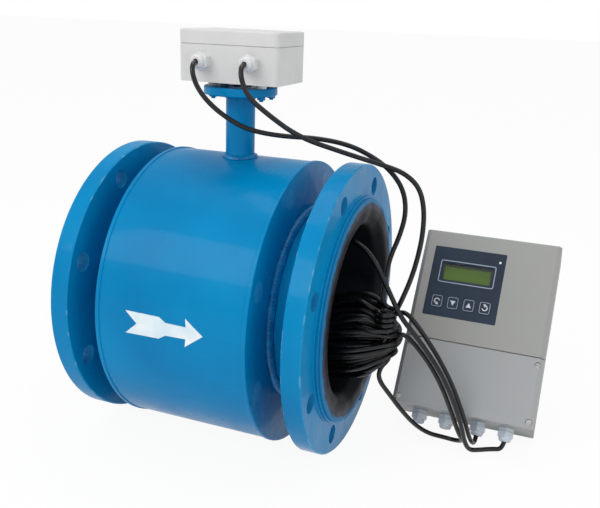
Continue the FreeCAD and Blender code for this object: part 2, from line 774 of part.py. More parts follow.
def cover_gaskets():
    """The two seals between covers and case."""
    rings = []
    for z0, z1 in ((0, seam_height - seam_gap / 2), (seam_height + seam_gap / 2, case_height)):
        outer = Part.makeBox(case_width - 2, gasket_thickness, z1 - z0 - 1.2,
                             Vector(1, cover_depth, z0 + 0.6))
        inner = Part.makeBox(case_width - 2 * cover_wall, gasket_thickness, z1 - z0 - 2 * cover_wall,
                             Vector(cover_wall, cover_depth, z0 + cover_wall))
        ring = outer.cut(inner)
        if z0 == 0:
            for x, z in terminal_screw_places():
                pad = Part.makeCylinder(4.6, gasket_thickness, Vector(x, cover_depth, z), Y_AXIS)
                hole = Part.makeCylinder(2.4, gasket_thickness, Vector(x, cover_depth, z), Y_AXIS)
                ring = ring.fuse(pad).cut(hole)
        rings.append(ring.removeSplitter())
    return group(rings)


def terminal_cover_screws():
    """Four cross-headed screws through the terminal cover into the case."""
    screws = []
    seat = cover_bevel - 0.5
    for x, z in terminal_screw_places():
        head = Part.makeCylinder(terminal_head_radius, 2.4, Vector(x, seat - 2.4, z), Y_AXIS)
        for size in ((4.2, 0.9), (0.9, 4.2)):
            groove = Part.makeBox(size[0], 1.2, size[1],
                                  Vector(x - size[0] / 2, seat - 2.9, z - size[1] / 2))
            head = head.cut(groove)
        shank = Part.makeCylinder(terminal_screw_radius, 28, Vector(x, seat, z), Y_AXIS)
        screws.append(head.fuse(shank).removeSplitter())
    return group(screws)


def keypad_panel():
    """The dark front plate in the cover's pocket, open at the display, keys and lamp."""
    x0, z0, x1, z1 = panel_box
    panel = plate_y(x0, z0, x1, z1, -panel_proud, panel_thickness - 0.05, panel_corner)
    x0, z0, x1, z1 = window_box
    panel = panel.cut(plate_y(x0, z0, x1, z1, -1, panel_thickness + 1, 1.0))
    for place in key_places():
        panel = panel.cut(centred_plate(place, key_size, -1, panel_thickness + 1, key_corner,
                                        key_clearance))
    lamp = Part.makeCylinder(lamp_radius + 0.15, 6, Vector(lamp_place[0], -2, lamp_place[1]), Y_AXIS)
    return panel.cut(lamp)


def display_window():
    """The clear plate set in the panel's opening."""
    x0, z0, x1, z1 = window_box
    gap = 0.12
    return plate_y(x0 + gap, z0 + gap, x1 - gap, z1 - gap, 0.7, 0.7 + window_thickness, 1.0)


def display_bezel():
    """The black metal frame that holds the display glass on the board."""
    x0, z0, x1, z1 = window_box
    front = cover_face - 1.2
    frame = plate_y(x0 - 1.6, z0 - 1.6, x1 + 1.6, z1 + 1.6, front, board_depth, 0.6)
    x0, z0, x1, z1 = glass_box
    frame = frame.cut(plate_y(x0, z0, x1, z1, front - 1, board_depth))
    glass_room = plate_y(x0 - 1.2, z0 - 1.2, x1 + 1.2, z1 + 1.2, front + 1.0, board_depth)
    return frame.cut(glass_room)


def display_glass():
    """The display's glass cell behind the bezel."""
    x0, z0, x1, z1 = glass_box
    start = cover_face - 0.1
    return plate_y(x0 - 1.0, z0 - 1.0, x1 + 1.0, z1 + 1.0, start, board_depth)


def key_piece(place):
    """A key: its cap, the flange that holds it behind the panel, and its plunger."""
    cap = centred_plate(place, key_size, -key_proud, panel_thickness + 0.3, key_corner)
    front_edges = [e for e in cap.Edges if e.BoundBox.YMax < -key_proud + 0.01]
    cap = cap.makeFillet(0.35, front_edges)
    flange_plate = centred_plate(place, key_size, panel_thickness + 0.2, panel_thickness + 1.2,
                                 key_corner, key_flange)
    reach = board_depth - 2.4 - key_travel - 0.15
    plunger = Part.makeCylinder(2.4, reach - panel_thickness,
                                Vector(place[0], panel_thickness, place[1]), Y_AXIS)
    return cap.fuse([flange_plate, plunger]).removeSplitter()


def power_lamp():
    """The domed lamp that shows through the panel, on its stem from the board."""
    x, z = lamp_place
    stem = Part.makeCylinder(lamp_radius, board_depth, Vector(x, 0, z), Y_AXIS)
    dome = Part.makeSphere(lamp_radius, Vector(x, 0.9, z))
    return stem.fuse(dome).removeSplitter()


def board_corners():
    x0, z0, x1, z1 = panel_box
    return corners_of(x0 - board_margin, z0 - board_margin, x1 + board_margin, z1 + board_margin, 3.6, 3.6)


def display_board():
    """The circuit board behind the panel, with a small switch under each key."""
    x0, z0, x1, z1 = panel_box
    board = plate_y(x0 - board_margin, z0 - board_margin, x1 + board_margin, z1 + board_margin,
                    board_depth, board_depth + board_thickness, 2.0)
    for x, z in key_places():
        switch = Part.makeBox(6, 2.4, 6, Vector(x - 3, board_depth - 2.4, z - 3))
        board = board.fuse(switch)
    return board.removeSplitter()


def board_standoffs():
    """The pillars between the cover's face and the board."""
    height = board_depth - cover_face
    return group([Part.makeCylinder(standoff_radius, height, Vector(x, cover_face, z), Y_AXIS)
                  for x, z in board_corners()])


def terminal_strip():
    """The terminal row on the back wall of the lower room."""
    x0, z0, x1, z1 = terminal_block
    back = case_depth - case_wall
    strip = Part.makeBox(x1 - x0, terminal_block_depth, z1 - z0,
                         Vector(x0, back - terminal_block_depth, z0))
    step = Part.makeBox(x1 - x0, terminal_block_depth / 2, (z1 - z0) * 0.4,
                        Vector(x0, back - terminal_block_depth, z1 - (z1 - z0) * 0.4))
    strip = strip.cut(step)
    pitch = (x1 - x0) / terminal_ways
    for index in range(terminal_ways):
        x = x0 + pitch * (index + 0.5)
        well = Part.makeCylinder(2.4, 5, Vector(x, back - terminal_block_depth, z0 + 5), Y_AXIS)
        mouth = Part.makeBox(4.4, 6, 3, Vector(x - 2.2, back - terminal_block_depth + 7, z0))
        strip = strip.cut(well).cut(mouth)
    return strip


def wall_bracket():
    """The folded hat bracket on the back; its lower edge is what the case stands on."""
    middle = case_width / 2
    half = bracket_width / 2
    back = case_depth + bracket_stand_off
    sheet = bracket_sheet
    rise = bracket_top - bracket_foot
    web = Part.makeBox(bracket_width, sheet, rise, Vector(middle - half, back - sheet, bracket_foot))
    bracket = web
    for side in (-1, 1):
        cheek_x = middle + side * half - (sheet if side > 0 else 0)
        bracket = bracket.fuse(Part.makeBox(sheet, bracket_stand_off, rise,
                                            Vector(cheek_x, case_depth, bracket_foot)))
        wing_x = middle + side * half if side > 0 else middle - half - bracket_flange
        bracket = bracket.fuse(Part.makeBox(bracket_flange, sheet, rise,
                                            Vector(wing_x, case_depth, bracket_foot)))
    bracket = bracket.removeSplitter()
    folds = [e for e in bracket.Edges if abs(e.Length - rise) < 0.01
             and abs(e.Vertexes[0].Y - back) < 0.01]
    bracket = bracket.makeFillet(sheet - 0.2, folds)
    width, length = bracket_slot
    for z in bracket_bolt_rows:
        slot = plate_y(middle - length / 2, z - width / 2, middle + length / 2, z + width / 2,
                       back - sheet - 1, back + 1, width / 2)
        bracket = bracket.cut(slot)
    for x, z in bracket_bolt_places():
        bracket = bracket.cut(Part.makeCylinder(bracket_bolt_radius + 0.3, sheet + 2,
                                                Vector(x, case_depth - 1, z), Y_AXIS))
    return bracket


def bracket_bolt_places():
    middle = case_width / 2
    reach = bracket_width / 2 + bracket_flange / 2
    return [(middle + side * reach, z) for side in (-1, 1) for z in bracket_bolt_rows]


def bracket_bolts():
    """The four hexagon-headed bolts that hold the bracket to the case's back."""
    bolts = []
    for x, z in bracket_bolt_places():
        head = hexagon(10.0, 4.0)
        washer = Part.makeCylinder(6.0, 1.2, Vector(0, 0, -1.2))
        length = bracket_sheet + case_wall - 0.5
        shank = Part.makeCylinder(bracket_bolt_radius, length, Vector(0, 0, -1.2 - length))
        bolt = head.fuse([washer, shank]).removeSplitter()
        bolts.append(point_along(bolt, Vector(x, case_depth + bracket_sheet + 1.2, z), Y_AXIS))
    return group(bolts)


def at_case_glands(shape, indices=(0, 1, 2, 3)):
    """Copies of a gland piece under the case, pointing down out of its underside."""
    return [point_along(shape, Vector(case_gland_places[i], case_gland_depth, 0), Vector(0, 0, -1))
            for i in indices]


# ---- cables --------------------------------------------------------------------------
def gland_mouth(place, direction):
    """Where a cable starts: on the outer face of the gland's seal."""
    reach = gland_hex_height + gland_barrel_height + gland_seal_height
    return place + direction * reach


box_gland_tips = [gland_mouth(place, Vector(0, -1, 0)) for place in box_gland_places()]
case_down = Vector(0, -math.sin(lean), -math.cos(lean))
case_gland_tips = [gland_mouth(case_point(x, case_gland_depth, 0), case_down) for x in case_gland_places]
lowest_cable_z = floor_z + cable_radius

signal_upper_route = [
    box_gland_tips[0], Vector(-26.8, -60.5, 275.6), Vector(-25.4, -67.5, 270.2),
    Vector(-23, -69.5, 261), Vector(-19, -68, 250), Vector(-11, -65, 238), Vector(0, -60, 226.5),
    Vector(13, -54, 216.3), Vector(28, -46.5, 207.5), Vector(46, -37.5, 202.3),
    Vector(70, -26.5, 199.3), Vector(98, -13, 198.5), Vector(132, -1, 193), Vector(160, 4, 181),
    Vector(182, 2, 168), Vector(198, 0, 149), Vector(203, 0, 124), Vector(198, -1, 97),
    Vector(189, -2, 71), Vector(186, -4, 47), Vector(187, -7, 26), Vector(188.5, -9, 9)]

excitation_upper_route = [
    box_gland_tips[1], Vector(30.8, -60.5, 275.6), Vector(32, -67.5, 270.4),
    Vector(34.2, -70, 261.5), Vector(38, -69, 250.5), Vector(45, -66, 240), Vector(54.5, -61, 231),
    Vector(67, -55, 220.5), Vector(82, -47.5, 209), Vector(100, -38, 199), Vector(124, -26, 190.5),
    Vector(150, -17, 182.5), Vector(177, -10, 175.5), Vector(200, -8, 169), Vector(217, -7, 155),
    Vector(224, -7, 132), Vector(225, -8, 105), Vector(222, -9, 78), Vector(217, -11, 53),
    Vector(210, -12.5, 30), Vector(203, -13.5, 11), Vector(198, -15, -3)]

signal_loop_route = [
    Vector(178, -12, -58), Vector(187, -9, -79), Vector(200, 2, -102), Vector(213, 14, -126),
    Vector(227, 30, -150), Vector(243, 41, -164.5), Vector(262, 44.5, -167),
    Vector(277, 43, -167), Vector(287, 37.5, -162), Vector(283.5, 26, -149.5),
    Vector(278, 17, -130), Vector(271, 8.5, -106), Vector(261.5, 1, -79), Vector(247.5, -5, -52),
    Vector(230, -9, -29), Vector(215, -10, -15), Vector(201, -7, -20)]

signal_lower_route = [
    Vector(199, 5, 0), Vector(210, 1, 8), Vector(224, -1.5, -3), Vector(242, -1, -25),
    Vector(258.5, 2, -50), Vector(272, 7.5, -77), Vector(282, 15, -105), Vector(289.5, 22.5, -130),
    Vector(293.5, 28, -147), Vector(297, 35, -160), case_gland_tips[2]]

excitation_lower_route = [
    Vector(33, 0, -12), Vector(42, -1, 9), Vector(53, -2.5, 29), Vector(66, -4, 48),
    Vector(81, -6, 65), Vector(99, -8, 79), Vector(120, -9.5, 87), Vector(142, -12, 89),
    Vector(162, -15, 82), Vector(176, -18, 68), Vector(187, -21, 52), Vector(197, -23.5, 36),
    Vector(206, -24.5, 20), Vector(215, -22, 5), Vector(226, -17.5, -9), Vector(239, -12.5, -27),
    Vector(256, -8, -51), Vector(270, -2, -79), Vector(280, 6, -107), Vector(287, 14, -133),
    Vector(291, 19.5, -153), Vector(296.5, 27, -166.6), Vector(308, 34, -167.1),
    Vector(321, 42, -167.1), case_gland_tips[3]]


def exit_corner(route, tip, direction, clear_height):
    """Put a point straight below a gland's mouth, where its cable turns onto the floor."""
    drop = (tip.z - clear_height) / -direction.z
    corner = tip + direction * drop
    return route[:-1] + [corner, tip]


signal_lower_route = exit_corner(signal_lower_route, case_gland_tips[2], case_down, lowest_cable_z + 0.1)
excitation_lower_route = exit_corner(excitation_lower_route, case_gland_tips[3], case_down,
                                     lowest_cable_z + 0.1)


def cord_wire(name, points):
    """Straight runs joined by tangent arcs, each as large as its two runs allow."""
    edges = []
    last = points[0]
    radii = []
    for before, corner, after in zip(points, points[1:], points[2:]):
        into = corner - before
        out = after - corner
        turn = into.getAngle(out)
        reach = 0.45 * min(into.Length, out.Length)
        radii.append(reach / math.tan(turn / 2))
        into.normalize()
        out.normalize()
        start = corner - into * reach
        end = corner + out * reach
        inward = out - into
        inward.normalize()
        middle_distance = radii[-1] / math.cos(turn / 2) - radii[-1]
        edges.append(Part.LineSegment(last, start).toShape())
        edges.append(Part.Arc(start, corner + inward * middle_distance, end).toShape())
        last = end
    edges.append(Part.LineSegment(last, points[-1]).toShape())
    turns = [math.degrees((b - a).getAngle(c - b)) for a, b, c in zip(points, points[1:], points[2:])]
    runs = [(b - a).Length for a, b in zip(points, points[1:])]
    steps = [max(a, b) / min(a, b) for a, b in zip(runs, runs[1:])]
    print(name, "radii", [round(r, 1) for r in radii], "largest turn", round(max(turns), 1),
          "longest run", round(max(runs), 1), "largest step", round(max(steps), 2))
    return Part.Wire(edges)


def cord_tube(name, points):
    """A round cable along a route."""
    wire = cord_wire(name, points)
    direction = points[1] - points[0]
    section = Part.Wire(Part.makeCircle(cable_radius, points[0], direction))
    tube = wire.makePipeShell([section], True, False)
    expected = math.pi * cable_radius ** 2 * wire.Length
    print(name, "length", round(wire.Length, 1), "volume ratio", round(tube.Volume / expected, 4))
    return tube


def cable_hank():
    """One closed solid for the wound cable that lies in the bore and stands out of it."""
    turns = [2 * math.pi * index / hank_sides for index in range(hank_sides)]
    sections = []
    for x, half_height, half_width, rise in hank_stations:
        z = -(liner_bore - hank_seat) + max(half_height, hank_rest_height) + rise
        points = [Vector(x, half_width * math.sin(turn), z - half_height * math.cos(turn))
                  for turn in turns]
        sections.append(Part.makePolygon(points + points[:1]))
    return Part.makeLoft(sections, True, True)


# ---- all pieces ----------------------------------------------------------------------
def build():
    front, rear = [direction for _, direction in electrode_sides()]
    body = {
        "inlet_flange": flange(-1),
        "outlet_flange": flange(1),
        "measuring_tube": measuring_tube(),
        "rubber_liner": rubber_liner(),
        "drum_shell": drum_shell(),
        "inlet_end_plate": end_plate(drum_inlet_x),
        "outlet_end_plate": end_plate(drum_outlet_x - end_plate_thickness),
        "weld_beads": weld_beads(),
        "upper_coil": saddle_coil(1),
        "lower_coil": saddle_coil(-1),
        "upper_pole_core": pole_core(1),
        "lower_pole_core": pole_core(-1),
        "return_yoke": return_yoke(),
        "front_electrode": electrode(front),
        "rear_electrode": electrode(rear),
        "electrode_bushes": group([electrode_bush(front), electrode_bush(rear)]),
        "electrode_nuts": group([electrode_nut(front), electrode_nut(rear)]),
        "flow_arrow": flow_arrow(),
        "column_pipe": column_pipe(),
        "support_tray": support_disc(),
        "box_spacers": box_spacers(),
        "junction_box_base": junction_box_base(),
        "junction_box_gasket": junction_box_gasket(),
        "junction_box_lid": junction_box_lid(),
        "lid_screws": lid_screws(),
        "box_fixing_screws": box_fixing_screws(),
        "box_terminal_block": box_terminal_block(),
        "box_gland_bodies": at_box_glands(gland_body(box_wall)),
        "box_gland_seals": at_box_glands(gland_seal(False)),
        "box_gland_nuts": at_box_glands(gland_nut(gland_nut_height)),
        "box_gland_locknuts": at_box_glands(gland_locknut(box_wall)),
        "cable_hank": cable_hank(),
        "signal_cable_upper": cord_tube("signal_cable_upper", signal_upper_route),
        "signal_cable_loop": cord_tube("signal_cable_loop", signal_loop_route),
        "signal_cable_lower": cord_tube("signal_cable_lower", signal_lower_route),
        "excitation_cable_upper": cord_tube("excitation_cable_upper", excitation_upper_route),
        "excitation_cable_lower": cord_tube("excitation_cable_lower", excitation_lower_route),
    }
    case = {
        "transmitter_housing": transmitter_housing(),
        "display_cover": display_cover(),
        "terminal_cover": terminal_cover(),
        "cover_gaskets": cover_gaskets(),
        "terminal_cover_screws": terminal_cover_screws(),
        "keypad_panel": keypad_panel(),
        "display_window": display_window(),
        "display_bezel": display_bezel(),
        "display_glass": display_glass(),
        "power_lamp": power_lamp(),
        "display_board": display_board(),
        "board_standoffs": board_standoffs(),
        "terminal_strip": terminal_strip(),
        "wall_bracket": wall_bracket(),
        "bracket_bolts": bracket_bolts(),
        "case_gland_bodies": group(at_case_glands(gland_body(case_wall))),
        "case_gland_seals": group(at_case_glands(gland_seal(True), (0, 1))
                                  + at_case_glands(gland_seal(False), (2, 3))),
        "case_gland_nuts": group(at_case_glands(gland_nut(case_gland_nut_height))),
        "case_gland_locknuts": group(at_case_glands(gland_locknut(case_wall))),
    }
    for name, place in zip(key_names, key_places()):
        case[name] = key_piece(place)
    for name, shape in case.items():
        body[name] = stand(shape)
    return body


os.makedirs("parts", exist_ok=True)
for node, solid in build().items():
    solid.exportStep("parts/" + node + ".step")
    volume = round(solid.Volume / 1000, 2)
    print(node, "solids", len(solid.Solids), "valid", solid.isValid(), "volume", volume, "cm3")
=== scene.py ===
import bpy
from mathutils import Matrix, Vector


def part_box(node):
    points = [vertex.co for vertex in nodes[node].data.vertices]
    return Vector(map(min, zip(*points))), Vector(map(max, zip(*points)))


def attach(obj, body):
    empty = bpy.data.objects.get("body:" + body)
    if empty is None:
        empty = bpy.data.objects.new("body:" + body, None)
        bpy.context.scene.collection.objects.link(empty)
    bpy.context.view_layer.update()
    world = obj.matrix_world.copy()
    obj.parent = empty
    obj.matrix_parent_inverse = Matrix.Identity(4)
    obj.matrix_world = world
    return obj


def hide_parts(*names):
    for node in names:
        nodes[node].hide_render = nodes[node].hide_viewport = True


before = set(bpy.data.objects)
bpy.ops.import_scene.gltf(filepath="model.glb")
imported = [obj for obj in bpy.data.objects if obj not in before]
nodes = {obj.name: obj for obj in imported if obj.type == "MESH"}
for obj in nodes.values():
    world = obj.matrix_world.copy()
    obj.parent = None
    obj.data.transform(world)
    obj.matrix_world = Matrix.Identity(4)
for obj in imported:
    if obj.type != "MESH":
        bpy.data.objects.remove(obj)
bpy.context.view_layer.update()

import math

import bmesh
import bpy
import numpy as np
from mathutils import Matrix, Vector

# Electromagnetic flow meter, remote type.  Metres, in the meter's own frame: the origin is the
# middle of the meter on the pipe's axis, +X is the flow direction, +Z is up and -Y is the side
# that carries the arrow.

MM = 0.001
METER = "meter"

FLOOR_Z = -0.170
FLANGE_RADIUS = 0.170
RIM_LINE = 0.0016            # how far the painted highlight line and the wear chips reach from a flange's corner
FLANGE_FACE_X = 0.149
FLANGE_REAR_X = 0.127
BOLT_CIRCLE_RADIUS = 0.1475
BOLT_HOLE_RADIUS = 0.011
TUBE_RADIUS = 0.10955
DRUM_RADIUS = 0.1665
DRUM_INLET_X = -0.092
DRUM_OUTLET_X = 0.088
LINER_FACE_X = 0.1565
COLLAR_RADIUS = 0.1315
COLUMN_RADIUS = 0.01685
DISC_BASE_Z = 0.2385
CABLE_RADIUS = 0.0028
LID_SEAM = 0.0008

CASE_LEAN = math.radians(36.6)
CASE_LEFT_X = 0.1954
CASE_FRONT_Y = 0.031
CASE_DEPTH = 0.078
CASE_BASE_Z = FLOOR_Z + CASE_DEPTH * math.sin(CASE_LEAN)


# ---- meshes -------------------------------------------------------------------------------
def skin(name, grid, round_u=False, round_v=False):
    """A mesh over a grid of points: each point is joined to the next one along both
    directions, and a round direction joins its last row to its first."""
    rows, columns = grid.shape[:2]
    u, v = np.meshgrid(np.arange(rows if round_u else rows - 1),
                       np.arange(columns if round_v else columns - 1), indexing="ij")
    next_u = (u + 1) % rows
    next_v = (v + 1) % columns
    quads = np.stack([u * columns + v, next_u * columns + v,
                      next_u * columns + next_v, u * columns + next_v], axis=-1)
    mesh = bpy.data.meshes.new(name)
    mesh.from_pydata(grid.reshape(-1, 3).tolist(), [], quads.reshape(-1, 4).tolist())
    return mesh


def closed_piece(name, meshes, finish, body=METER, smooth=True):
    """One object from one or more meshes, its doubles merged and its faces turned outwards."""
    whole = bmesh.new()
    for mesh in meshes:
        whole.from_mesh(mesh)
        bpy.data.meshes.remove(mesh)
    bmesh.ops.remove_doubles(whole, verts=whole.verts, dist=1e-6)
    bmesh.ops.recalc_face_normals(whole, faces=whole.faces)
    mesh = bpy.data.meshes.new(name)
    whole.to_mesh(mesh)
    whole.free()
    for polygon in mesh.polygons:
        polygon.use_smooth = smooth
    piece = bpy.data.objects.new(name, mesh)
    bpy.context.scene.collection.objects.link(piece)
    piece.data.materials.append(finish)
    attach(piece, body)
    return piece


def on_case(points):
    """Points given on the upright transmitter (x across, y into it, z up, in metres), leant
    back with it: turned about X by the lean and moved to its place on the floor."""
    x, y, z = points[..., 0], points[..., 1], points[..., 2]
    c, s = math.cos(CASE_LEAN), math.sin(CASE_LEAN)
    return np.stack([CASE_LEFT_X + x, CASE_FRONT_Y + y * c + z * s,
                     CASE_BASE_Z - y * s + z * c], axis=-1)


# ---- finishes -----------------------------------------------------------------------------
class Finish:
    """A material with one shader; its patterns read Object coordinates."""

    def __init__(self, name, **sockets):
        self.material = bpy.data.materials.new(name)
        self.material.use_nodes = True
        self.nodes = self.material.node_tree.nodes
        self.links = self.material.node_tree.links
        self.shader = self.nodes["Principled BSDF"]
        for socket, value in sockets.items():
            self.shader.inputs[socket.replace("_", " ")].default_value = value
        self.place = self.nodes.new("ShaderNodeTexCoord").outputs["Object"]

    def join(self, source, target):
        self.links.new(source, target)

    def stretched(self, scale, turn=(0, 0, 0), shift=(0, 0, 0)):
        """The place, scaled unevenly, turned and shifted."""
        mapping = self.nodes.new("ShaderNodeMapping")
        mapping.inputs["Scale"].default_value = scale
        mapping.inputs["Rotation"].default_value = turn
        mapping.inputs["Location"].default_value = shift
        self.join(self.place, mapping.inputs["Vector"])
        return mapping.outputs["Vector"]

    def mottle(self, scale, detail=3.0, place=None, distortion=0.0):
        """Soft noise from 0 to 1; scale is how many patches there are in a metre."""
        noise = self.nodes.new("ShaderNodeTexNoise")
        noise.inputs["Scale"].default_value = scale
        noise.inputs["Detail"].default_value = detail
        noise.inputs["Distortion"].default_value = distortion
        self.join(place or self.place, noise.inputs["Vector"])
        return noise.outputs["Fac"]

    def grains(self, scale, place=None):
        """Distance to the nearest of many scattered points."""
        cells = self.nodes.new("ShaderNodeTexVoronoi")
        cells.inputs["Scale"].default_value = scale
        self.join(place or self.place, cells.inputs["Vector"])
        return cells.outputs["Distance"]

    def bands(self, scale, direction="X", distortion=0.0, place=None):
        """Straight waves from 0 to 1 along a direction."""
        wave = self.nodes.new("ShaderNodeTexWave")
        wave.bands_direction = direction
        wave.inputs["Scale"].default_value = scale
        wave.inputs["Distortion"].default_value = distortion
        wave.inputs["Detail"].default_value = 2.0
        self.join(place or self.place, wave.inputs["Vector"])
        return wave.outputs["Fac"]

    def spread(self, value, low, high, to_low=0.0, to_high=1.0):
        """Map a value from low..high to another range, held at its ends."""
        node = self.nodes.new("ShaderNodeMapRange")
        ends = {"From Min": low, "From Max": high, "To Min": to_low, "To Max": to_high}
        for socket, number in ends.items():
            node.inputs[socket].default_value = number
        self.join(value, node.inputs["Value"])
        return node.outputs["Result"]

    def sum(self, operation, first, second):
        node = self.nodes.new("ShaderNodeMath")
        node.operation = operation
        for socket, value in zip(node.inputs, (first, second)):
            if isinstance(value, (int, float)):
                socket.default_value = value
            else:
                self.join(value, socket)
        return node.outputs[0]

    def axis(self, letter):
        """One of the three coordinates of the place."""
        parts = self.nodes.new("ShaderNodeSeparateXYZ")
        self.join(self.place, parts.inputs[0])
        return parts.outputs[letter]

    def blend(self, factor, first, second):
        """A colour between two, each a tuple or another colour output."""
        node = self.nodes.new("ShaderNodeMix")
        node.data_type = "RGBA"
        self.join(factor, node.inputs["Factor"])
        sockets = [socket for socket in node.inputs if socket.type == "RGBA"]
        for socket, value in zip(sockets, (first, second)):
            if isinstance(value, tuple):
                socket.default_value = (*value, 1.0)
            else:
                self.join(value, socket)
        return [socket for socket in node.outputs if socket.type == "RGBA"][0]

    def radius(self):
        """Distance from the pipe's axis."""
        y_squared = self.sum("POWER", self.axis("Y"), 2.0)
        z_squared = self.sum("POWER", self.axis("Z"), 2.0)
        return self.sum("SQRT", self.sum("ADD", y_squared, z_squared), 0.0)

    def near(self, value, level, reach):
        """1 where a value is at a level, falling to 0 at a reach from it."""
        away = self.sum("ABSOLUTE", self.sum("SUBTRACT", value, level), 0.0)
        return self.spread(away, 0.0, reach, 1.0, 0.0)

    def colour(self, output):
        self.join(output, self.shader.inputs["Base Color"])

    def roughness(self, output):
        self.join(output, self.shader.inputs["Roughness"])

    def bumps(self, *layers):
        """Raise the surface by each (height, distance in metres) in turn."""
        last = None
        for height, distance in layers:
            bump = self.nodes.new("ShaderNodeBump")
            bump.inputs["Distance"].default_value = distance
            self.join(height, bump.inputs["Height"])
            if last:
                self.join(last, bump.inputs["Normal"])
            last = bump.outputs["Normal"]
        self.join(last, self.shader.inputs["Normal"])


def srgb(code):
    """A colour written as six hex digits, as the linear values that the shader takes."""
    values = [int(code[k:k + 2], 16) / 255 for k in (0, 2, 4)]
    return tuple(v / 12.92 if v <= 0.04045 else ((v + 0.055) / 1.055) ** 2.4 for v in values)


def bolt_hole_walls(f):
    """1 on the walls of the flange bolt holes: the angle about the axis is folded into one
    eighth of a turn, and the distance from that eighth's hole is compared with its radius."""
    eighth = math.pi / 4
    turn = f.sum("ARCTAN2", f.axis("Y"), f.axis("Z"))
    angle = f.sum("SUBTRACT", f.sum("FLOORED_MODULO", turn, eighth), eighth / 2)
    across = f.sum("MULTIPLY", f.radius(), f.sum("SINE", angle, 0.0))
    outward = f.sum("MULTIPLY", f.radius(), f.sum("COSINE", angle, 0.0))
    along = f.sum("SUBTRACT", outward, BOLT_CIRCLE_RADIUS)
    squares = f.sum("ADD", f.sum("POWER", across, 2.0), f.sum("POWER", along, 2.0))
    distance = f.sum("SQRT", squares, 0.0)
    return f.spread(distance, BOLT_HOLE_RADIUS + 0.0001, BOLT_HOLE_RADIUS + 0.0004, 1.0, 0.0)


def blue_enamel():
    """Sprayed gloss enamel: slow changes of tone, orange peel, fine dust, painted light on the bolt
    holes' walls, a painted highlight line along the flanges' corners and small chips there."""
    f = Finish("blue_enamel", Roughness=0.32, Specular_IOR_Level=0.05,
               Coat_Weight=0.12, Coat_Roughness=0.06)
    tone = f.spread(f.mottle(7.0, 3.0), 0.3, 0.7)
    paint = f.blend(tone, srgb("0078B0"), srgb("008AC2"))
    dust = f.spread(f.mottle(420.0, 4.0), 0.66, 0.84, 0.0, 0.10)
    paint = f.blend(dust, paint, srgb("3D9BCB"))
    # Painted light: the bolt holes' walls are lighter blue, standing in for light that comes through the
    # holes.
    paint = f.blend(f.sum("MULTIPLY", bolt_hole_walls(f), 0.4), paint, srgb("3C9ED2"))
    # The corners' mask carries two marks: a thin lighter line, which is a painted highlight standing in
    # for gloss catching the lamps, and the chips, which are wear.
    reach = f.sum("ABSOLUTE", f.axis("X"), 0.0)
    corner = f.sum("MAXIMUM", f.near(reach, FLANGE_FACE_X, RIM_LINE),
                   f.near(reach, FLANGE_REAR_X, RIM_LINE))
    rim = f.spread(f.radius(), FLANGE_RADIUS - RIM_LINE, FLANGE_RADIUS - 0.0006)
    corner = f.sum("MULTIPLY", corner, rim)
    # Painted highlight: a lighter line all along the flanges' corners.
    paint = f.blend(f.sum("MULTIPLY", corner, 0.45), paint, srgb("2FA6DC"))
    chips = f.sum("MULTIPLY", corner, f.spread(f.mottle(70.0, 5.0), 0.54, 0.62, 0.0, 0.6))
    f.colour(f.blend(chips, paint, srgb("9CC4D6")))
    f.roughness(f.spread(f.mottle(26.0, 4.0), 0.3, 0.7, 0.22, 0.38))
    f.bumps((f.mottle(230.0, 1.0), 0.00012), (f.mottle(34.0, 2.0), 0.0007))
    return f.material


def weld_enamel():
    """The same enamel over weld beads, a little rougher and with spatter."""
    f = Finish("weld_enamel", Roughness=0.32, Specular_IOR_Level=0.15,
               Coat_Weight=0.30, Coat_Roughness=0.10)
    f.colour(f.blend(f.spread(f.mottle(90.0, 3.0), 0.35, 0.65), srgb("006AA4"), srgb("0C86C0")))
    f.roughness(f.spread(f.mottle(160.0, 3.0), 0.3, 0.7, 0.22, 0.42))
    f.bumps((f.mottle(700.0, 3.0), 0.0003))
    return f.material


def liner_rubber():
    """Moulded black rubber: dusty purple-grey on the flat of its collar, and blue where the
    sprayed enamel ran over the collar's edge in a ragged line."""
    f = Finish("liner_rubber", Roughness=0.55, Specular_IOR_Level=0.15)
    dark = f.blend(f.spread(f.mottle(30.0, 4.0), 0.35, 0.7), srgb("0B0D13"), srgb("171A22"))
    dusty = f.blend(f.spread(f.mottle(60.0, 5.0), 0.35, 0.65), srgb("283242"), srgb("42414F"))
    ragged = f.sum("ADD", f.radius(), f.spread(f.mottle(90.0, 5.0), 0.3, 0.7, -0.0022, 0.0022))
    face = f.spread(f.sum("ABSOLUTE", f.axis("X"), 0.0), LINER_FACE_X - 0.0022, LINER_FACE_X - 0.0004)
    face = f.sum("MULTIPLY", face, f.spread(ragged, COLLAR_RADIUS - 0.0150, COLLAR_RADIUS - 0.0100))
    body = f.blend(face, dark, dusty)
    overspray = f.spread(ragged, COLLAR_RADIUS - 0.0062, COLLAR_RADIUS - 0.0040)
    body = f.blend(overspray, body, srgb("1B78AC"))
    specks = f.spread(f.mottle(900.0, 2.0), 0.66, 0.76, 0.0, 0.4)
    f.colour(f.blend(specks, body, srgb("5D6673")))
    f.roughness(f.spread(f.mottle(45.0, 4.0), 0.3, 0.7, 0.42, 0.66))
    f.bumps((f.mottle(500.0, 3.0), 0.00015), (f.bands(90.0, "X", 3.0), 0.00008))
    return f.material


def plain_metal(name, low, high, roughness, scale=(40.0, 40.0, 900.0)):
    """Turned or rolled metal with fine lines one way."""
    f = Finish(name, Metallic=1.0, Roughness=roughness)
    lines = f.mottle(1.0, 4.0, f.stretched(scale))
    f.colour(f.blend(f.spread(lines, 0.3, 0.7), srgb(low), srgb(high)))
    f.roughness(f.spread(lines, 0.3, 0.7, roughness - 0.06, roughness + 0.10))
    f.bumps((lines, 0.00006))
    return f.material


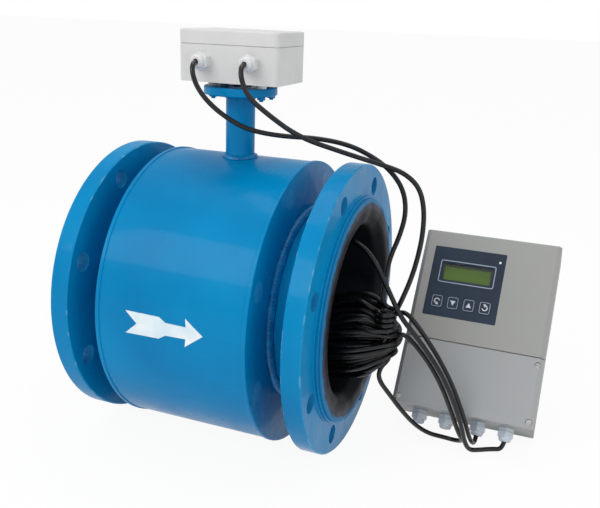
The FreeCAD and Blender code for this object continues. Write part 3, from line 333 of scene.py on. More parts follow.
def plain_plastic(name, low, high, roughness, grain=1500.0, depth=0.00005, **sockets):
    """Moulded plastic with a fine spark-eroded grain and faint changes of tone."""
    f = Finish(name, Roughness=roughness, **sockets)
    f.colour(f.blend(f.spread(f.mottle(24.0, 3.0), 0.3, 0.7), srgb(low), srgb(high)))
    f.roughness(f.spread(f.mottle(70.0, 3.0), 0.3, 0.7, roughness - 0.05, roughness + 0.07))
    f.bumps((f.mottle(grain, 2.0), depth))
    return f.material


def powder_coat(name, low, high):
    """Textured grey powder coat on the cast case: fine peel, specks and faint handling marks."""
    f = Finish(name, Roughness=0.5, Specular_IOR_Level=0.35)
    tone = f.blend(f.spread(f.mottle(7.0, 3.0), 0.3, 0.7), srgb(low), srgb(high))
    specks = f.spread(f.grains(700.0), 0.05, 0.22, 0.35, 0.0)
    f.colour(f.blend(specks, tone, srgb("7C7D82")))
    f.roughness(f.spread(f.mottle(18.0, 5.0), 0.35, 0.7, 0.42, 0.60))
    f.bumps((f.mottle(900.0, 2.0), 0.00012), (f.mottle(60.0, 2.0), 0.0003))
    return f.material


def cable_jacket():
    """Black cable jacket, slightly glossy, with rubbed and dusty stretches."""
    f = Finish("cable_jacket", Roughness=0.30, Specular_IOR_Level=0.45)
    f.colour(f.blend(f.spread(f.mottle(60.0, 4.0), 0.45, 0.75), srgb("05070C"), srgb("12161E")))
    f.roughness(f.spread(f.mottle(90.0, 4.0), 0.3, 0.7, 0.20, 0.40))
    f.bumps((f.mottle(800.0, 2.0), 0.00008))
    return f.material


def winding():
    """Taped copper winding: close turns that show as bands."""
    f = Finish("coil_winding", Metallic=0.6, Roughness=0.42)
    turns = f.bands(240.0, "X", 0.4)
    f.colour(f.blend(turns, srgb("7A3F22"), srgb("C47A4A")))
    f.bumps((turns, 0.0003))
    return f.material


def laminated_iron():
    """Soft iron in thin sheets, whose edges show as fine lines."""
    f = Finish("laminated_iron", Metallic=0.9, Roughness=0.5)
    sheets = f.bands(500.0, "X")
    f.colour(f.blend(sheets, srgb("3A3B3E"), srgb("5B5C5F")))
    f.bumps((sheets, 0.0001))
    return f.material


def keypad_film():
    """Printed dark blue film with a fine matt grain."""
    f = Finish("keypad_film", Roughness=0.40, Specular_IOR_Level=0.25)
    f.colour(f.blend(f.spread(f.mottle(16.0, 3.0), 0.3, 0.7), srgb("222E3C"), srgb("29384C")))
    f.roughness(f.spread(f.mottle(90.0, 3.0), 0.3, 0.7, 0.34, 0.46))
    f.bumps((f.mottle(2600.0, 1.0), 0.00003))
    return f.material


def display_cell():
    """The unlit olive green display with the faint grid of its dots."""
    f = Finish("display_cell", Roughness=0.30, Specular_IOR_Level=0.2)
    grid = f.spread(f.sum("MULTIPLY", f.bands(260.0, "X"), f.bands(260.0, "Z")), 0.2, 0.9, 0.0, 0.30)
    green = f.blend(f.spread(f.mottle(20.0, 2.0), 0.3, 0.7), srgb("44650F"), srgb("557816"))
    f.colour(f.blend(grid, green, srgb("48661A")))
    f.roughness(f.spread(f.mottle(60.0, 2.0), 0.3, 0.7, 0.26, 0.36))
    return f.material


def clear_pane():
    """The thin clear window over the display."""
    f = Finish("clear_pane", Roughness=0.08, Alpha=0.03, IOR=1.49, Specular_IOR_Level=0.08)
    f.colour(f.blend(f.spread(f.mottle(30.0, 2.0), 0.3, 0.7), srgb("C4CEC8"), srgb("D2D6D2")))
    return f.material


def circuit_board():
    """Green solder mask with faint copper tracks under it."""
    f = Finish("circuit_board", Roughness=0.3)
    tracks = f.spread(f.grains(160.0), 0.30, 0.36)
    f.colour(f.blend(tracks, srgb("1C5B38"), srgb("12402A")))
    f.bumps((tracks, 0.00005))
    return f.material


def arrow_film():
    """White film on the enamel, a little blue where it is thin."""
    f = Finish("arrow_film", Roughness=0.42)
    f.colour(f.blend(f.spread(f.mottle(40.0, 4.0), 0.35, 0.75), srgb("EFF5F8"), srgb("C9E1EE")))
    f.roughness(f.spread(f.mottle(120.0, 3.0), 0.3, 0.7, 0.36, 0.5))
    f.bumps((f.mottle(300.0, 2.0), 0.00008))
    return f.material


enamel = blue_enamel()
bead_enamel = weld_enamel()
rubber = liner_rubber()
stainless = plain_metal("stainless", "A9A9A6", "C9C9C5", 0.28)
zinc = plain_metal("zinc_plate", "A7AAAC", "BEC1C3", 0.38, (30.0, 300.0, 30.0))
box_plastic = plain_plastic("box_plastic", "D0D0CF", "D9D9D8", 0.46, Specular_IOR_Level=0.35)
white_plastic = plain_plastic("white_plastic", "DCDBD6", "E6E5E1", 0.45)
white_nylon = plain_plastic("white_nylon", "D3D4D6", "DEDFE0", 0.36, 600.0, 0.00006,
                            Subsurface_Weight=0.2, Subsurface_Scale=0.003)
gland_nylon = plain_plastic("gland_nylon", "CDD6E2", "E0E6EE", 0.30, 600.0, 0.00006,
                            Subsurface_Weight=0.3, Subsurface_Scale=0.004)
seal = plain_plastic("seal_rubber", "17181A", "222326", 0.6, 900.0, 0.00008)
grey_seal = plain_plastic("grey_seal", "C0C0C0", "C8C8C8", 0.6, 900.0, 0.00006)
black_plastic = plain_plastic("black_plastic", "121314", "1B1C1D", 0.4)
lamp_lens = plain_plastic("lamp_lens", "F1F0EA", "FBFAF5", 0.15, 800.0, 0.00002, Coat_Weight=0.4)
grey_coat = powder_coat("grey_powder_coat", "A19E9C", "9AA09C")
cover_coat = powder_coat("terminal_cover_coat", "A5A5A6", "A1A6A8")
jacket = cable_jacket()
copper = winding()
iron = laminated_iron()
film = keypad_film()
green_cell = display_cell()
pane = clear_pane()
board = circuit_board()
arrow = arrow_film()
key_print = plain_plastic("key_print", "C6CED8", "D8DEE5", 0.4, 900.0, 0.00002)
line_print = plain_plastic("line_print", "8F9FB4", "A3B1C3", 0.4, 900.0, 0.00002)
seam_filler = plain_plastic("seam_filler", "7E807E", "8B8D8B", 0.5)
lid_filler = plain_plastic("lid_filler", "C2C3C4", "CACBCB", 0.5)

FINISH_OF = {
    enamel: ("inlet_flange", "outlet_flange", "measuring_tube", "drum_shell", "inlet_end_plate",
             "outlet_end_plate", "column_pipe", "support_tray", "box_fixing_screws"),
    bead_enamel: ("weld_beads",),
    rubber: ("rubber_liner",),
    copper: ("upper_coil", "lower_coil"),
    iron: ("upper_pole_core", "lower_pole_core", "return_yoke"),
    stainless: ("front_electrode", "rear_electrode", "electrode_nuts", "lid_screws",
                "terminal_cover_screws", "board_standoffs", "bracket_bolts"),
    white_plastic: ("electrode_bushes", "box_spacers", "box_terminal_block", "terminal_strip"),
    arrow: ("flow_arrow",),
    box_plastic: ("junction_box_base", "junction_box_lid"),
    seal: ("box_gland_seals", "cover_gaskets", "case_gland_seals"),
    grey_seal: ("junction_box_gasket",),
    white_nylon: ("box_gland_bodies", "box_gland_nuts", "box_gland_locknuts"),
    gland_nylon: ("case_gland_bodies", "case_gland_nuts", "case_gland_locknuts"),
    jacket: ("cable_hank", "signal_cable_upper", "signal_cable_loop", "signal_cable_lower",
             "excitation_cable_upper", "excitation_cable_lower"),
    grey_coat: ("transmitter_housing", "display_cover"),
    cover_coat: ("terminal_cover",),
    film: ("keypad_panel", "menu_key", "down_key", "up_key", "enter_key"),
    pane: ("display_window",),
    black_plastic: ("display_bezel",),
    green_cell: ("display_glass",),
    lamp_lens: ("power_lamp",),
    board: ("display_board",),
    zinc: ("wall_bracket",),
}
for material, names in FINISH_OF.items():
    for name in names:
        for place in nodes[name].material_slots:
            place.material = material


# ---- cables -------------------------------------------------------------------------------
def millimetres(*points):
    return np.array(points, float) * MM


BOX_GLAND_TIPS = millimetres((-26.8, -50.3, 275.7), (30.8, -50.3, 275.7))
GLAND_REACH = 0.0103
GLAND_DEPTH = 0.039
gland_down = np.array([0.0, -math.sin(CASE_LEAN), -math.cos(CASE_LEAN)])
gland_places = np.array([[x * MM, GLAND_DEPTH, 0.0] for x in (104.8, 138.8)])
case_tips = on_case(gland_places) + gland_down * GLAND_REACH
case_corners = case_tips + gland_down * ((case_tips[:, 2:] - FLOOR_Z - CABLE_RADIUS - 0.0001)
                                         / math.cos(CASE_LEAN))

signal_upper = millimetres(
    (-26.8, -60.5, 275.6), (-25.4, -67.5, 270.2), (-23, -69.5, 261), (-19, -68, 250), (-11, -65, 238),
    (0, -60, 226.5), (13, -54, 216.3), (28, -46.5, 207.5), (46, -37.5, 202.3), (70, -26.5, 199.3),
    (98, -13, 198.5), (132, -1, 193), (160, 4, 181), (182, 2, 168), (198, 0, 149), (203, 0, 124),
    (198, -1, 97), (189, -2, 71), (186, -4, 47))
excitation_upper = millimetres(
    (30.8, -60.5, 275.6), (32, -67.5, 270.4), (34.2, -70, 261.5), (38, -69, 250.5), (45, -66, 240),
    (54.5, -61, 231), (67, -55, 220.5), (82, -47.5, 209), (100, -38, 199), (124, -26, 190.5),
    (150, -17, 182.5), (177, -10, 175.5), (200, -8, 169), (217, -7, 155), (224, -7, 132), (225, -8, 105),
    (222, -9, 78), (217, -11, 53), (210, -12.5, 30), (203, -13.5, 11), (198, -15, -3))
signal_loop = millimetres(
    (178, -12, -58), (187, -9, -79), (200, 2, -102), (213, 14, -126), (227, 30, -150), (243, 41, -164.5),
    (262, 44.5, -167), (277, 43, -167), (287, 37.5, -162), (283.5, 26, -149.5), (278, 17, -130),
    (271, 8.5, -106), (261.5, 1, -79), (247.5, -5, -52), (230, -9, -29), (215, -10, -15), (201, -7, -20))
signal_lower = millimetres(
    (199, 5, 0), (210, 1, 8), (224, -1.5, -3), (242, -1, -25), (258.5, 2, -50), (272, 7.5, -77),
    (282, 15, -105), (289.5, 22.5, -130), (293.5, 28, -147), (297, 35, -160))
excitation_lower = millimetres(
    (33, 0, -12), (42, -1, 9), (53, -2.5, 29), (66, -4, 48), (81, -6, 65), (99, -8, 79), (120, -9.5, 87),
    (142, -12, 89), (162, -15, 82), (176, -18, 68), (187, -21, 52), (197, -23.5, 36), (206, -24.5, 20),
    (215, -22, 5), (226, -17.5, -9), (239, -12.5, -27), (256, -8, -51), (270, -2, -79), (280, 6, -107),
    (287, 14, -133), (291, 19.5, -153), (296.5, 27, -166.6), (308, 34, -167.1), (321, 42, -167.1))

# The hank's outline: place along X, middle height, half height and half width.
HANK = millimetres(
    (-72, -57, 33, 30), (-40, -54, 40, 36), (10, -53.5, 45, 40), (75, -50, 47, 41), (120, -42, 49, 42),
    (150, -34, 50, 42), (175, -31, 42, 39), (192, -29, 30, 35), (204, -28, 24, 32), (214, -27, 21, 29))
HANK_FAR_X = -0.068
HANK_NEAR_X = 0.209
TURN_STEP = 0.0060
LEVELS = 21
FOLD_RADIUS = 0.0175         # least half width of a turn at its folds
RUN_HALF_WIDTH = 0.0125      # and on its runs
LEVEL_FILL = 0.93            # the outermost level, as a share of the outline's half height
NEAR_TAPER = 0.012           # how much shorter the outermost levels are at each end
FAR_TAPER = 0.006
SIDE_WANDER = 0.0016         # how far the turns wander sideways and up
SIDE_SPREAD = 0.0014
HEIGHT_WANDER = 0.0036
TILT = 0.16                  # most change of level at an end of a turn
LOOSE_X = 0.158              # where the top turns stand loose, how far along and how high
LOOSE_REACH = 0.030
LOOSE_RISE = 0.030
LOOSE_FROM_LEVEL = 0.25
SLOW_WAVES = 1.7             # half waves of height along a run

# One turn of a cable round the hank, from the middle of its near fold: the share of the way from
# the near end to the far one, and the angle round the fold at that end, which is square on a run.
RUN_SHARE = np.array([0, 0, 0, 0.14, 0.35, 0.58, 0.80, 1, 1, 1, 1, 1, 0.80, 0.58, 0.35, 0.14, 0, 0])
FOLD_ANGLE = np.radians([0, -40, -80, -90, -90, -90, -90, -80, -40, 0, 40, 80, 90, 90, 90, 90, 80, 40])
IN_FOLD = np.abs(RUN_SHARE - 0.5) == 0.5
TURN_SIDE = np.sin(FOLD_ANGLE)
# How far each point has changed over to the next turn's place, on the way back to the near end.
CHANGE_OVER = np.clip((np.arange(len(RUN_SHARE)) - 12) / 6, 0.0, 1.0)


def hank_slots():
    """Where the turns lie: level from -1 at the bottom to 1 at the top, and ring from the
    outside in.  Every other level sits half a ring further in and has a second ring."""
    slots = []
    for index, level in enumerate(np.linspace(-1, 1, LEVELS)):
        slots.append((float(level), 0.5 * (index % 2)))
        if index % 2 == 1:
            slots.append((float(level), 2.0))
    return slots


def hank_turn(this, following):
    """A long turn: two runs and a half ring at each end.  Its height follows the hank's outline
    at its level, its width is the outline's half width at that level less its rings.  A slow tilt
    takes it from one level to another and back, slow sines let it wander, and near the tie the
    loose top turns stand up.  Its last points lead over to the following turn."""
    place = this + (following - this) * CHANGE_OVER[:, None]
    level, ring, waves, phase, lift, lift_phase, tilt = place.T
    near = HANK_NEAR_X - TURN_STEP * ring - NEAR_TAPER * level ** 2
    far = HANK_FAR_X + TURN_STEP * ring + FAR_TAPER * level ** 2

    def width_at(x, least):
        half_width = np.interp(x, HANK[:, 0], HANK[:, 3])
        outline = half_width * np.sqrt(1 - (LEVEL_FILL * level) ** 2)
        return np.maximum(outline - CABLE_RADIUS - TURN_STEP * ring, least)

    fold_width = width_at(near + (far - near) * np.round(RUN_SHARE), FOLD_RADIUS)
    inward = np.sign(RUN_SHARE - 0.5) * IN_FOLD * fold_width * (1 - np.cos(FOLD_ANGLE))
    x = near + (far - near) * RUN_SHARE + inward
    along = (near - x) / (near - far)
    width = np.where(IN_FOLD, fold_width, width_at(x, RUN_HALF_WIDTH))
    sway = SIDE_WANDER * np.sin(along * math.pi * waves + phase)
    y = TURN_SIDE * (width + SIDE_SPREAD * np.abs(tilt) + sway)
    middle, half_height = (np.interp(x, HANK[:, 0], HANK[:, k]) for k in (1, 2))
    tilted = np.clip(level + TILT * tilt * np.cos(along * math.pi), -1.0, 1.0)
    loose = (np.exp(-((x - LOOSE_X) / LOOSE_REACH) ** 2) * np.maximum(level - LOOSE_FROM_LEVEL, 0.0)
             * (0.5 + 0.5 * lift))
    wave = HEIGHT_WANDER * lift * np.cos(along * math.pi * SLOW_WAVES + lift_phase + TURN_SIDE)
    z = middle + tilted * (half_height - CABLE_RADIUS - 0.001) + wave + LOOSE_RISE * loose
    return np.stack([x, y, z], axis=-1)


def wound(slots, seed):
    """All of one cable's turns in the hank, end to end.  A row is a turn's level and ring, then
    the seeded waves, phase, lift, lift's phase and tilt that its wandering has."""
    source = np.random.default_rng(seed)
    lowest, highest = (1.2, 0, -1, 0, -1), (3.0, 6.28, 1, 6.28, 1)
    turns = np.array([(*slot, *source.uniform(lowest, highest)) for slot in slots])
    following = np.vstack([turns[1:], turns[-1:]])
    return np.concatenate([hank_turn(*pair) for pair in zip(turns, following)])


WRAP_POINTS = 12


def tie_wraps(centre, radius, top, pitch, turns, start):
    """A short upright helix: the cable wound round the bundle where the hank is tied."""
    step = np.arange(int(turns * WRAP_POINTS) + 1) / WRAP_POINTS
    angle = start - step * 2 * math.pi
    z = top - pitch * step
    return np.stack([centre[0] + radius * np.cos(angle), centre[1] + radius * np.sin(angle), z], axis=-1)


def cable(name, points):
    """A round cable on one smooth open spline with these control points."""
    curve = bpy.data.curves.new(name, "CURVE")
    curve.dimensions = "3D"
    spline = curve.splines.new("NURBS")
    spline.points.add(len(points) - 1)
    spline.points.foreach_set("co", np.hstack([points, np.ones((len(points), 1))]).ravel())
    spline.order_u = 3
    spline.use_endpoint_u = True
    spline.resolution_u = 6
    curve.resolution_u = 6
    curve.bevel_depth = CABLE_RADIUS
    curve.bevel_resolution = 3
    curve.use_fill_caps = True
    curve.materials.append(jacket)
    piece = bpy.data.objects.new(name, curve)
    bpy.context.scene.collection.objects.link(piece)
    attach(piece, METER)
    return piece


slots = hank_slots()
signal_slots = slots[0::2][::-1]
excitation_slots = slots[1::2]

# The points of a turn at which each cable joins its first one, and at which the second cable's
# last turn stops part of the way back, where its free stretch starts.
SIGNAL_JOINS_AT = 4
EXCITATION_JOINS_AT = 3
LAST_TURN_POINTS = 13

signal_route = np.concatenate([
    BOX_GLAND_TIPS[:1], signal_upper,
    millimetres((185.2, -8, 31.5), (185.9, -10.6, 23.5), (188.8, -12.3, 18)),
    tie_wraps((0.1945, -0.0225), 0.0095, 0.0150, 0.0062, 3.5, math.radians(98)),
    millimetres((183, -33.5, -9), (165, -32.5, -8), (140, -27, -3)),
    wound(signal_slots, 4)[SIGNAL_JOINS_AT:], millimetres((195.5, 0, -56), (188.5, -10, -63)),
    signal_loop[1:],
    millimetres((186, -3, -20), (180, 0, -14), (180, 4.5, -6), (186, 6.5, 0)),
    signal_lower, case_corners[:1], case_tips[:1]])
excitation_turns = wound(excitation_slots, 9)
excitation_stop = len(excitation_turns) - len(RUN_SHARE) + LAST_TURN_POINTS
excitation_route = np.concatenate([
    BOX_GLAND_TIPS[1:], excitation_upper,
    millimetres((195, -18.5, -19), (190, -22, -35), (180, -22.5, -51)),
    excitation_turns[EXCITATION_JOINS_AT:excitation_stop], excitation_lower,
    case_corners[1:], case_tips[1:]])

signal_cable = cable("signal_cable", signal_route)
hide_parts("signal_cable_upper", "signal_cable_loop", "signal_cable_lower", "cable_hank")
excitation_cable = cable("excitation_cable", excitation_route)
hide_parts("excitation_cable_upper", "excitation_cable_lower")


# ---- weld beads ---------------------------------------------------------------------------
WELD_LEG = 0.0070
COLUMN_WELD_LEG = 0.0042
RIPPLE_PITCH = 0.0042
ROOT_SINK = 0.0003


def bead_section(radius, leg):
    """Angle round a bead, and for each angle how far its skin stands out from the face and out
    from the tube: straight from one leg to the other, plus a bulge of sin(pi s) that ripples
    lift, each ripple bent forward in its middle.  The last column is the sunk root."""
    ripples = int(2 * math.pi * radius / RIPPLE_PITCH)
    turn = np.arange(ripples * 4) * 2 * math.pi / (ripples * 4)
    s = np.linspace(0, 1, 7)
    turn, s = np.meshgrid(turn, s, indexing="ij")
    size = leg * (1 + 0.05 * np.sin(13 * turn) + 0.03 * np.sin(29 * turn + 1))
    ripple = np.abs(np.sin(turn * ripples / 2 + 0.9 * np.sin(math.pi * s)))
    lift = size * np.sin(math.pi * s) * (0.14 + 0.10 * ripple)
    from_face = np.hstack([size * s + lift, np.full((len(turn), 1), -ROOT_SINK)])
    from_tube = np.hstack([size * (1 - s) + lift, np.full((len(turn), 1), -ROOT_SINK)])
    return np.hstack([turn, turn[:, :1]]), from_face, from_tube


def neck_bead(x, side):
    """A bead round the measuring tube against the face at x."""
    turn, from_face, from_tube = bead_section(TUBE_RADIUS, WELD_LEG)
    radius = TUBE_RADIUS + from_tube
    ring = np.stack([x + side * from_face, radius * np.sin(turn), radius * np.cos(turn)], axis=-1)
    return skin("neck_bead", ring, True, True)


def column_bead(on_drum):
    """A bead round the column, on the drum's round back or under the flat disc."""
    turn, from_face, from_tube = bead_section(COLUMN_RADIUS, COLUMN_WELD_LEG)
    radius = COLUMN_RADIUS + from_tube
    x, y = radius * np.cos(turn), radius * np.sin(turn)
    if on_drum:
        z = np.sqrt(DRUM_RADIUS ** 2 - y ** 2) + from_face
    else:
        z = DISC_BASE_Z - from_face
    return skin("column_bead", np.stack([x, y, z], axis=-1), True, True)


beads = closed_piece("rippled_beads", [
    neck_bead(-FLANGE_REAR_X, 1), neck_bead(DRUM_INLET_X, -1), neck_bead(DRUM_OUTLET_X, 1),
    neck_bead(FLANGE_REAR_X, -1), column_bead(True), column_bead(False)], bead_enamel)
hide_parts("weld_beads")


# ---- printed marks and the seam on the transmitter's front --------------------------------
# In millimetres on the upright transmitter; a size is half the width and half the height.
KEYS = ("menu_key", "down_key", "up_key", "enter_key")
KEY_FIRST_X = 30.9
KEY_PITCH = 20.0
KEY_ROW_Z = 135.2
KEY_TOP_Y = -0.6
PRINT_RISE = 0.12
PRINT_SINK = 0.05
KEY_BORDER_SIZE = (6.2, 7.2)
DISPLAY_FRAME_MIDDLE = (61.4, 176.3)
DISPLAY_FRAME_SIZE = (34.6, 14.6)
SYMBOL_RING_RADIUS = 3.1


def printed_line(path, half_width, front_y, closed=True):
    """A flat raised line along a path of (x, z) in millimetres: each section is a small upright
    rectangle square to the path, and an open line's ends close to a point."""
    ahead = np.roll(path, -1, axis=0) - np.roll(path, 1, axis=0)
    if not closed:
        ahead[0], ahead[-1] = path[1] - path[0], path[-1] - path[-2]
    ahead /= np.linalg.norm(ahead, axis=1, keepdims=True)
    aside = np.stack([-ahead[:, 1], ahead[:, 0]], axis=-1) * half_width
    rows = []
    for side, y in ((1, front_y + PRINT_SINK), (1, front_y - PRINT_RISE), (-1, front_y - PRINT_RISE),
                    (-1, front_y + PRINT_SINK)):
        edge = path + side * aside
        rows.append(np.stack([edge[:, 0], np.full(len(path), y), edge[:, 1]], axis=-1))
    grid = np.stack(rows, axis=1)
    if not closed:
        ends = grid.mean(axis=1, keepdims=True).repeat(4, axis=1)
        grid = np.concatenate([ends[:1], grid, ends[-1:]])
    return skin("printed_line", on_case(grid * MM), closed, True)


def printed_patch(outline, front_y):
    """A flat raised patch inside a convex outline of (x, z): middle, edge, edge below, middle."""
    middle = np.broadcast_to(outline.mean(axis=0), outline.shape)
    rows = [np.stack([points[:, 0], np.full(len(points), y), points[:, 1]], axis=-1)
            for points, y in ((middle, front_y - PRINT_RISE), (outline, front_y - PRINT_RISE),
                              (outline, front_y + PRINT_SINK), (middle, front_y + PRINT_SINK))]
    return skin("printed_patch", on_case(np.stack(rows) * MM), False, True)


def soft_rectangle(centre, half_width, half_height, squareness, count=64):
    """A rectangle with soft corners: both sides follow cos and sin to the power of two over
    the squareness."""
    turn = np.arange(count) * 2 * math.pi / count
    c, s = np.cos(turn), np.sin(turn)
    power = 2 / squareness
    return np.stack([centre[0] + half_width * np.sign(c) * np.abs(c) ** power,
                     centre[1] + half_height * np.sign(s) * np.abs(s) ** power], axis=-1)


def turned(points, degrees, centre):
    """Points turned about the key's middle."""
    c, s = math.cos(math.radians(degrees)), math.sin(math.radians(degrees))
    return np.array(points, float) @ np.array([[c, s], [-s, c]]) + centre


def key_symbol(key, centre):
    """A triangle on the up and down keys, and an open ring with an arrow head on the others."""
    if key in ("up_key", "down_key"):
        triangle = turned([(-3.4, -2.9), (3.4, -2.9), (0.0, 3.4)], 0 if key == "up_key" else 180, centre)
        return [printed_patch(triangle, KEY_TOP_Y)]
    turn = np.radians(np.linspace(-50, 215, 22))
    degrees = 60 if key == "menu_key" else 240
    ring = np.stack([SYMBOL_RING_RADIUS * np.cos(turn), SYMBOL_RING_RADIUS * np.sin(turn)], axis=-1)
    ring = turned(ring, degrees, centre)
    head = turned([(-4.9, -1.2), (-0.6, -0.6), (-3.0, -4.4)], degrees, centre)
    return [printed_line(ring, 0.65, KEY_TOP_Y, False), printed_patch(head, KEY_TOP_Y)]


for index, key in enumerate(KEYS):
    centre = np.array([KEY_FIRST_X + KEY_PITCH * index, KEY_ROW_Z])
    closed_piece(key + "_symbol", key_symbol(key, centre), key_print, key + "_body", False)
    border = printed_line(soft_rectangle(centre, *KEY_BORDER_SIZE, 7), 0.35, KEY_TOP_Y)
    closed_piece(key + "_border", [border], line_print, key + "_body", False)

frame_outline = soft_rectangle(DISPLAY_FRAME_MIDDLE, *DISPLAY_FRAME_SIZE, 22, 128)
display_frame = printed_line(frame_outline, 0.60, 0.0)
closed_piece("display_frame", [display_frame], line_print, METER, False)


COVER_SEAM_ENDS = (1.2, 169.4)
COVER_SEAM_Y = 1.9
COVER_SEAM_Z = 85.3
COVER_SEAM_HALF_DEPTH = 0.9
COVER_SEAM_HALF_HEIGHT = 0.64


def cover_seam():
    """A thin filler rod in the gap between the two covers, in millimetres on the upright case.
    Its section is an ellipse that closes to a point at both ends."""
    left, right = COVER_SEAM_ENDS
    x = np.array([left, left, 60.0, 115.0, right, right])
    size = np.array([0.0, 1.0, 1.0, 1.0, 1.0, 0.0])
    turn = np.arange(16) * 2 * math.pi / 16
    x, turn = np.meshgrid(x, turn, indexing="ij")
    y = COVER_SEAM_Y - COVER_SEAM_HALF_DEPTH * np.cos(turn) * size[:, None]
    z = COVER_SEAM_Z + COVER_SEAM_HALF_HEIGHT * np.sin(turn) * size[:, None]
    return skin("cover_seam", on_case(np.stack([x, y, z], axis=-1) * MM), False, True)


closed_piece("cover_seam", [cover_seam()], seam_filler, METER)

SEAM_RING_HALF_HEIGHT = 0.00042
SEAM_RING_HALF_WIDTH = 0.0008
SEAM_RING_INSET = 0.0011


def lid_seam_ring():
    """A thin ring in the gap under the junction box's lid.  Its path is the box's outline, a
    rectangle with soft corners, moved in; its section is an ellipse square to the path."""
    low, high = (np.array(corner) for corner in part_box("junction_box_lid"))
    middle = (low[:2] + high[:2]) / 2
    half = (high[:2] - low[:2]) / 2 - SEAM_RING_INSET
    seam_z = low[2] - LID_SEAM / 2
    path = soft_rectangle(middle, half[0], half[1], 26, 192)
    ahead = np.roll(path, -1, axis=0) - np.roll(path, 1, axis=0)
    ahead /= np.linalg.norm(ahead, axis=1, keepdims=True)
    outward = np.stack([ahead[:, 1], -ahead[:, 0]], axis=-1)
    turn = np.arange(10) * 2 * math.pi / 10
    across = path[:, None] + outward[:, None] * SEAM_RING_HALF_WIDTH * np.cos(turn)[None, :, None]
    z = np.broadcast_to(seam_z + SEAM_RING_HALF_HEIGHT * np.sin(turn), across.shape[:2])
    return skin("lid_seam_ring", np.concatenate([across, z[..., None]], axis=-1), True, True)


closed_piece("lid_seam_ring", [lid_seam_ring()], lid_filler, METER)


# ---- floor, light and camera --------------------------------------------------------------
FLOOR_SHARE = 0.93           # how white the floor shows to the camera and in reflections
ROOM_STRENGTH = 0.66
VIEW_PLACE = (0.3856, -0.8021, 0.3328)
VIEW_ANGLES = (20.888, 17.773, 2.038)   # yaw to the left, pitch down and roll, in degrees
FOCAL_WIDTHS = 762.34 / 600             # focal length in widths of the frame
SENSOR_WIDTH = 36.0


def show_mixed(tree, factor, first, second, output):
    """Show the first shader where the factor is 0 and the second where it is 1."""
    mix = tree.nodes.new("ShaderNodeMixShader")
    out = tree.nodes.new(output)
    tree.links.new(factor, mix.inputs[0])
    tree.links.new(first.outputs[0], mix.inputs[1])
    tree.links.new(second.outputs[0], mix.inputs[2])
    tree.links.new(mix.outputs[0], out.inputs["Surface"])


def pale_floor():
    """A pale floor that shows near white to the camera and in reflections, with the shadow."""
    x, y = np.meshgrid([-20.0, 20.0], [-20.0, 20.0], indexing="ij")
    corners = np.stack([x, y, np.full_like(x, FLOOR_Z - 0.0002)], axis=-1)
    floor = bpy.data.objects.new("floor", skin("floor", corners))
    bpy.context.scene.collection.objects.link(floor)
    material = bpy.data.materials.new("pale_floor")
    material.use_nodes = True
    tree = material.node_tree
    tree.nodes.clear()
    matt = tree.nodes.new("ShaderNodeBsdfDiffuse")
    matt.inputs["Color"].default_value = (0.90, 0.90, 0.90, 1.0)
    glow = tree.nodes.new("ShaderNodeEmission")
    glow.inputs["Color"].default_value = (1.0, 1.0, 1.0, 1.0)
    path = tree.nodes.new("ShaderNodeLightPath")
    either = tree.nodes.new("ShaderNodeMath")
    either.operation = "MAXIMUM"
    tree.links.new(path.outputs["Is Camera Ray"], either.inputs[0])
    tree.links.new(path.outputs["Is Glossy Ray"], either.inputs[1])
    share = tree.nodes.new("ShaderNodeMath")
    share.operation = "MULTIPLY"
    share.inputs[1].default_value = FLOOR_SHARE
    tree.links.new(either.outputs[0], share.inputs[0])
    show_mixed(tree, share.outputs[0], matt, glow, "ShaderNodeOutputMaterial")
    floor.data.materials.append(material)


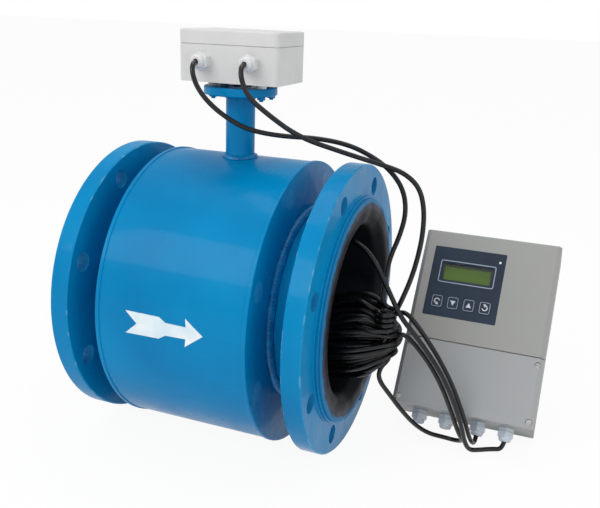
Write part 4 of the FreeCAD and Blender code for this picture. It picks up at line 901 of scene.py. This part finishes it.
def studio_world():
    """An even pale room: white to the camera, softer as light."""
    world = bpy.data.worlds.new("studio")
    bpy.context.scene.world = world
    world.use_nodes = True
    tree = world.node_tree
    tree.nodes.clear()
    room = tree.nodes.new("ShaderNodeBackground")
    room.inputs["Color"].default_value = (1.0, 1.0, 1.0, 1.0)
    room.inputs["Strength"].default_value = ROOM_STRENGTH
    white = tree.nodes.new("ShaderNodeBackground")
    white.inputs["Color"].default_value = (1.0, 1.0, 1.0, 1.0)
    white.inputs["Strength"].default_value = 1.0
    path = tree.nodes.new("ShaderNodeLightPath")
    show_mixed(tree, path.outputs["Is Camera Ray"], room, white, "ShaderNodeOutputWorld")


def soft_lamp(name, place, target, size, power):
    lamp = bpy.data.lights.new(name, "AREA")
    lamp.shape = "RECTANGLE"
    lamp.size, lamp.size_y = size
    lamp.energy = power
    piece = bpy.data.objects.new(name, lamp)
    bpy.context.scene.collection.objects.link(piece)
    piece.location = place
    piece.rotation_euler = (Vector(target) - Vector(place)).to_track_quat("-Z", "Y").to_euler()


def camera():
    """A camera at the view's own place: yaw to the left, pitch down and a slight roll."""
    yaw, pitch, roll = (math.radians(a) for a in VIEW_ANGLES)
    forward = Vector((-math.sin(yaw) * math.cos(pitch), math.cos(yaw) * math.cos(pitch),
                      -math.sin(pitch)))
    level = Vector((math.cos(yaw), math.sin(yaw), 0.0))
    rise = level.cross(forward)
    right = math.cos(roll) * level + math.sin(roll) * rise
    up = -math.sin(roll) * level + math.cos(roll) * rise
    data = bpy.data.cameras.new("view")
    data.sensor_width = SENSOR_WIDTH
    data.lens = FOCAL_WIDTHS * SENSOR_WIDTH
    data.clip_end = 100.0
    piece = bpy.data.objects.new("view", data)
    bpy.context.scene.collection.objects.link(piece)
    turn = Matrix((right, up, -forward)).transposed().to_4x4()
    piece.matrix_world = Matrix.Translation(VIEW_PLACE) @ turn
    bpy.context.scene.camera = piece


pale_floor()
studio_world()
soft_lamp("front_lamp", (-0.7, -1.6, 1.3), (0.0, 0.0, 0.0), (1.3, 1.0), 13.0)
soft_lamp("side_lamp", (1.7, -0.7, 0.9), (0.15, 0.0, 0.0), (0.9, 1.2), 4.0)
soft_lamp("top_lamp", (0.0, 0.3, 2.0), (0.05, 0.0, 0.0), (1.6, 1.2), 12.0)
camera()
bpy.context.scene.view_settings.view_transform = "Standard"
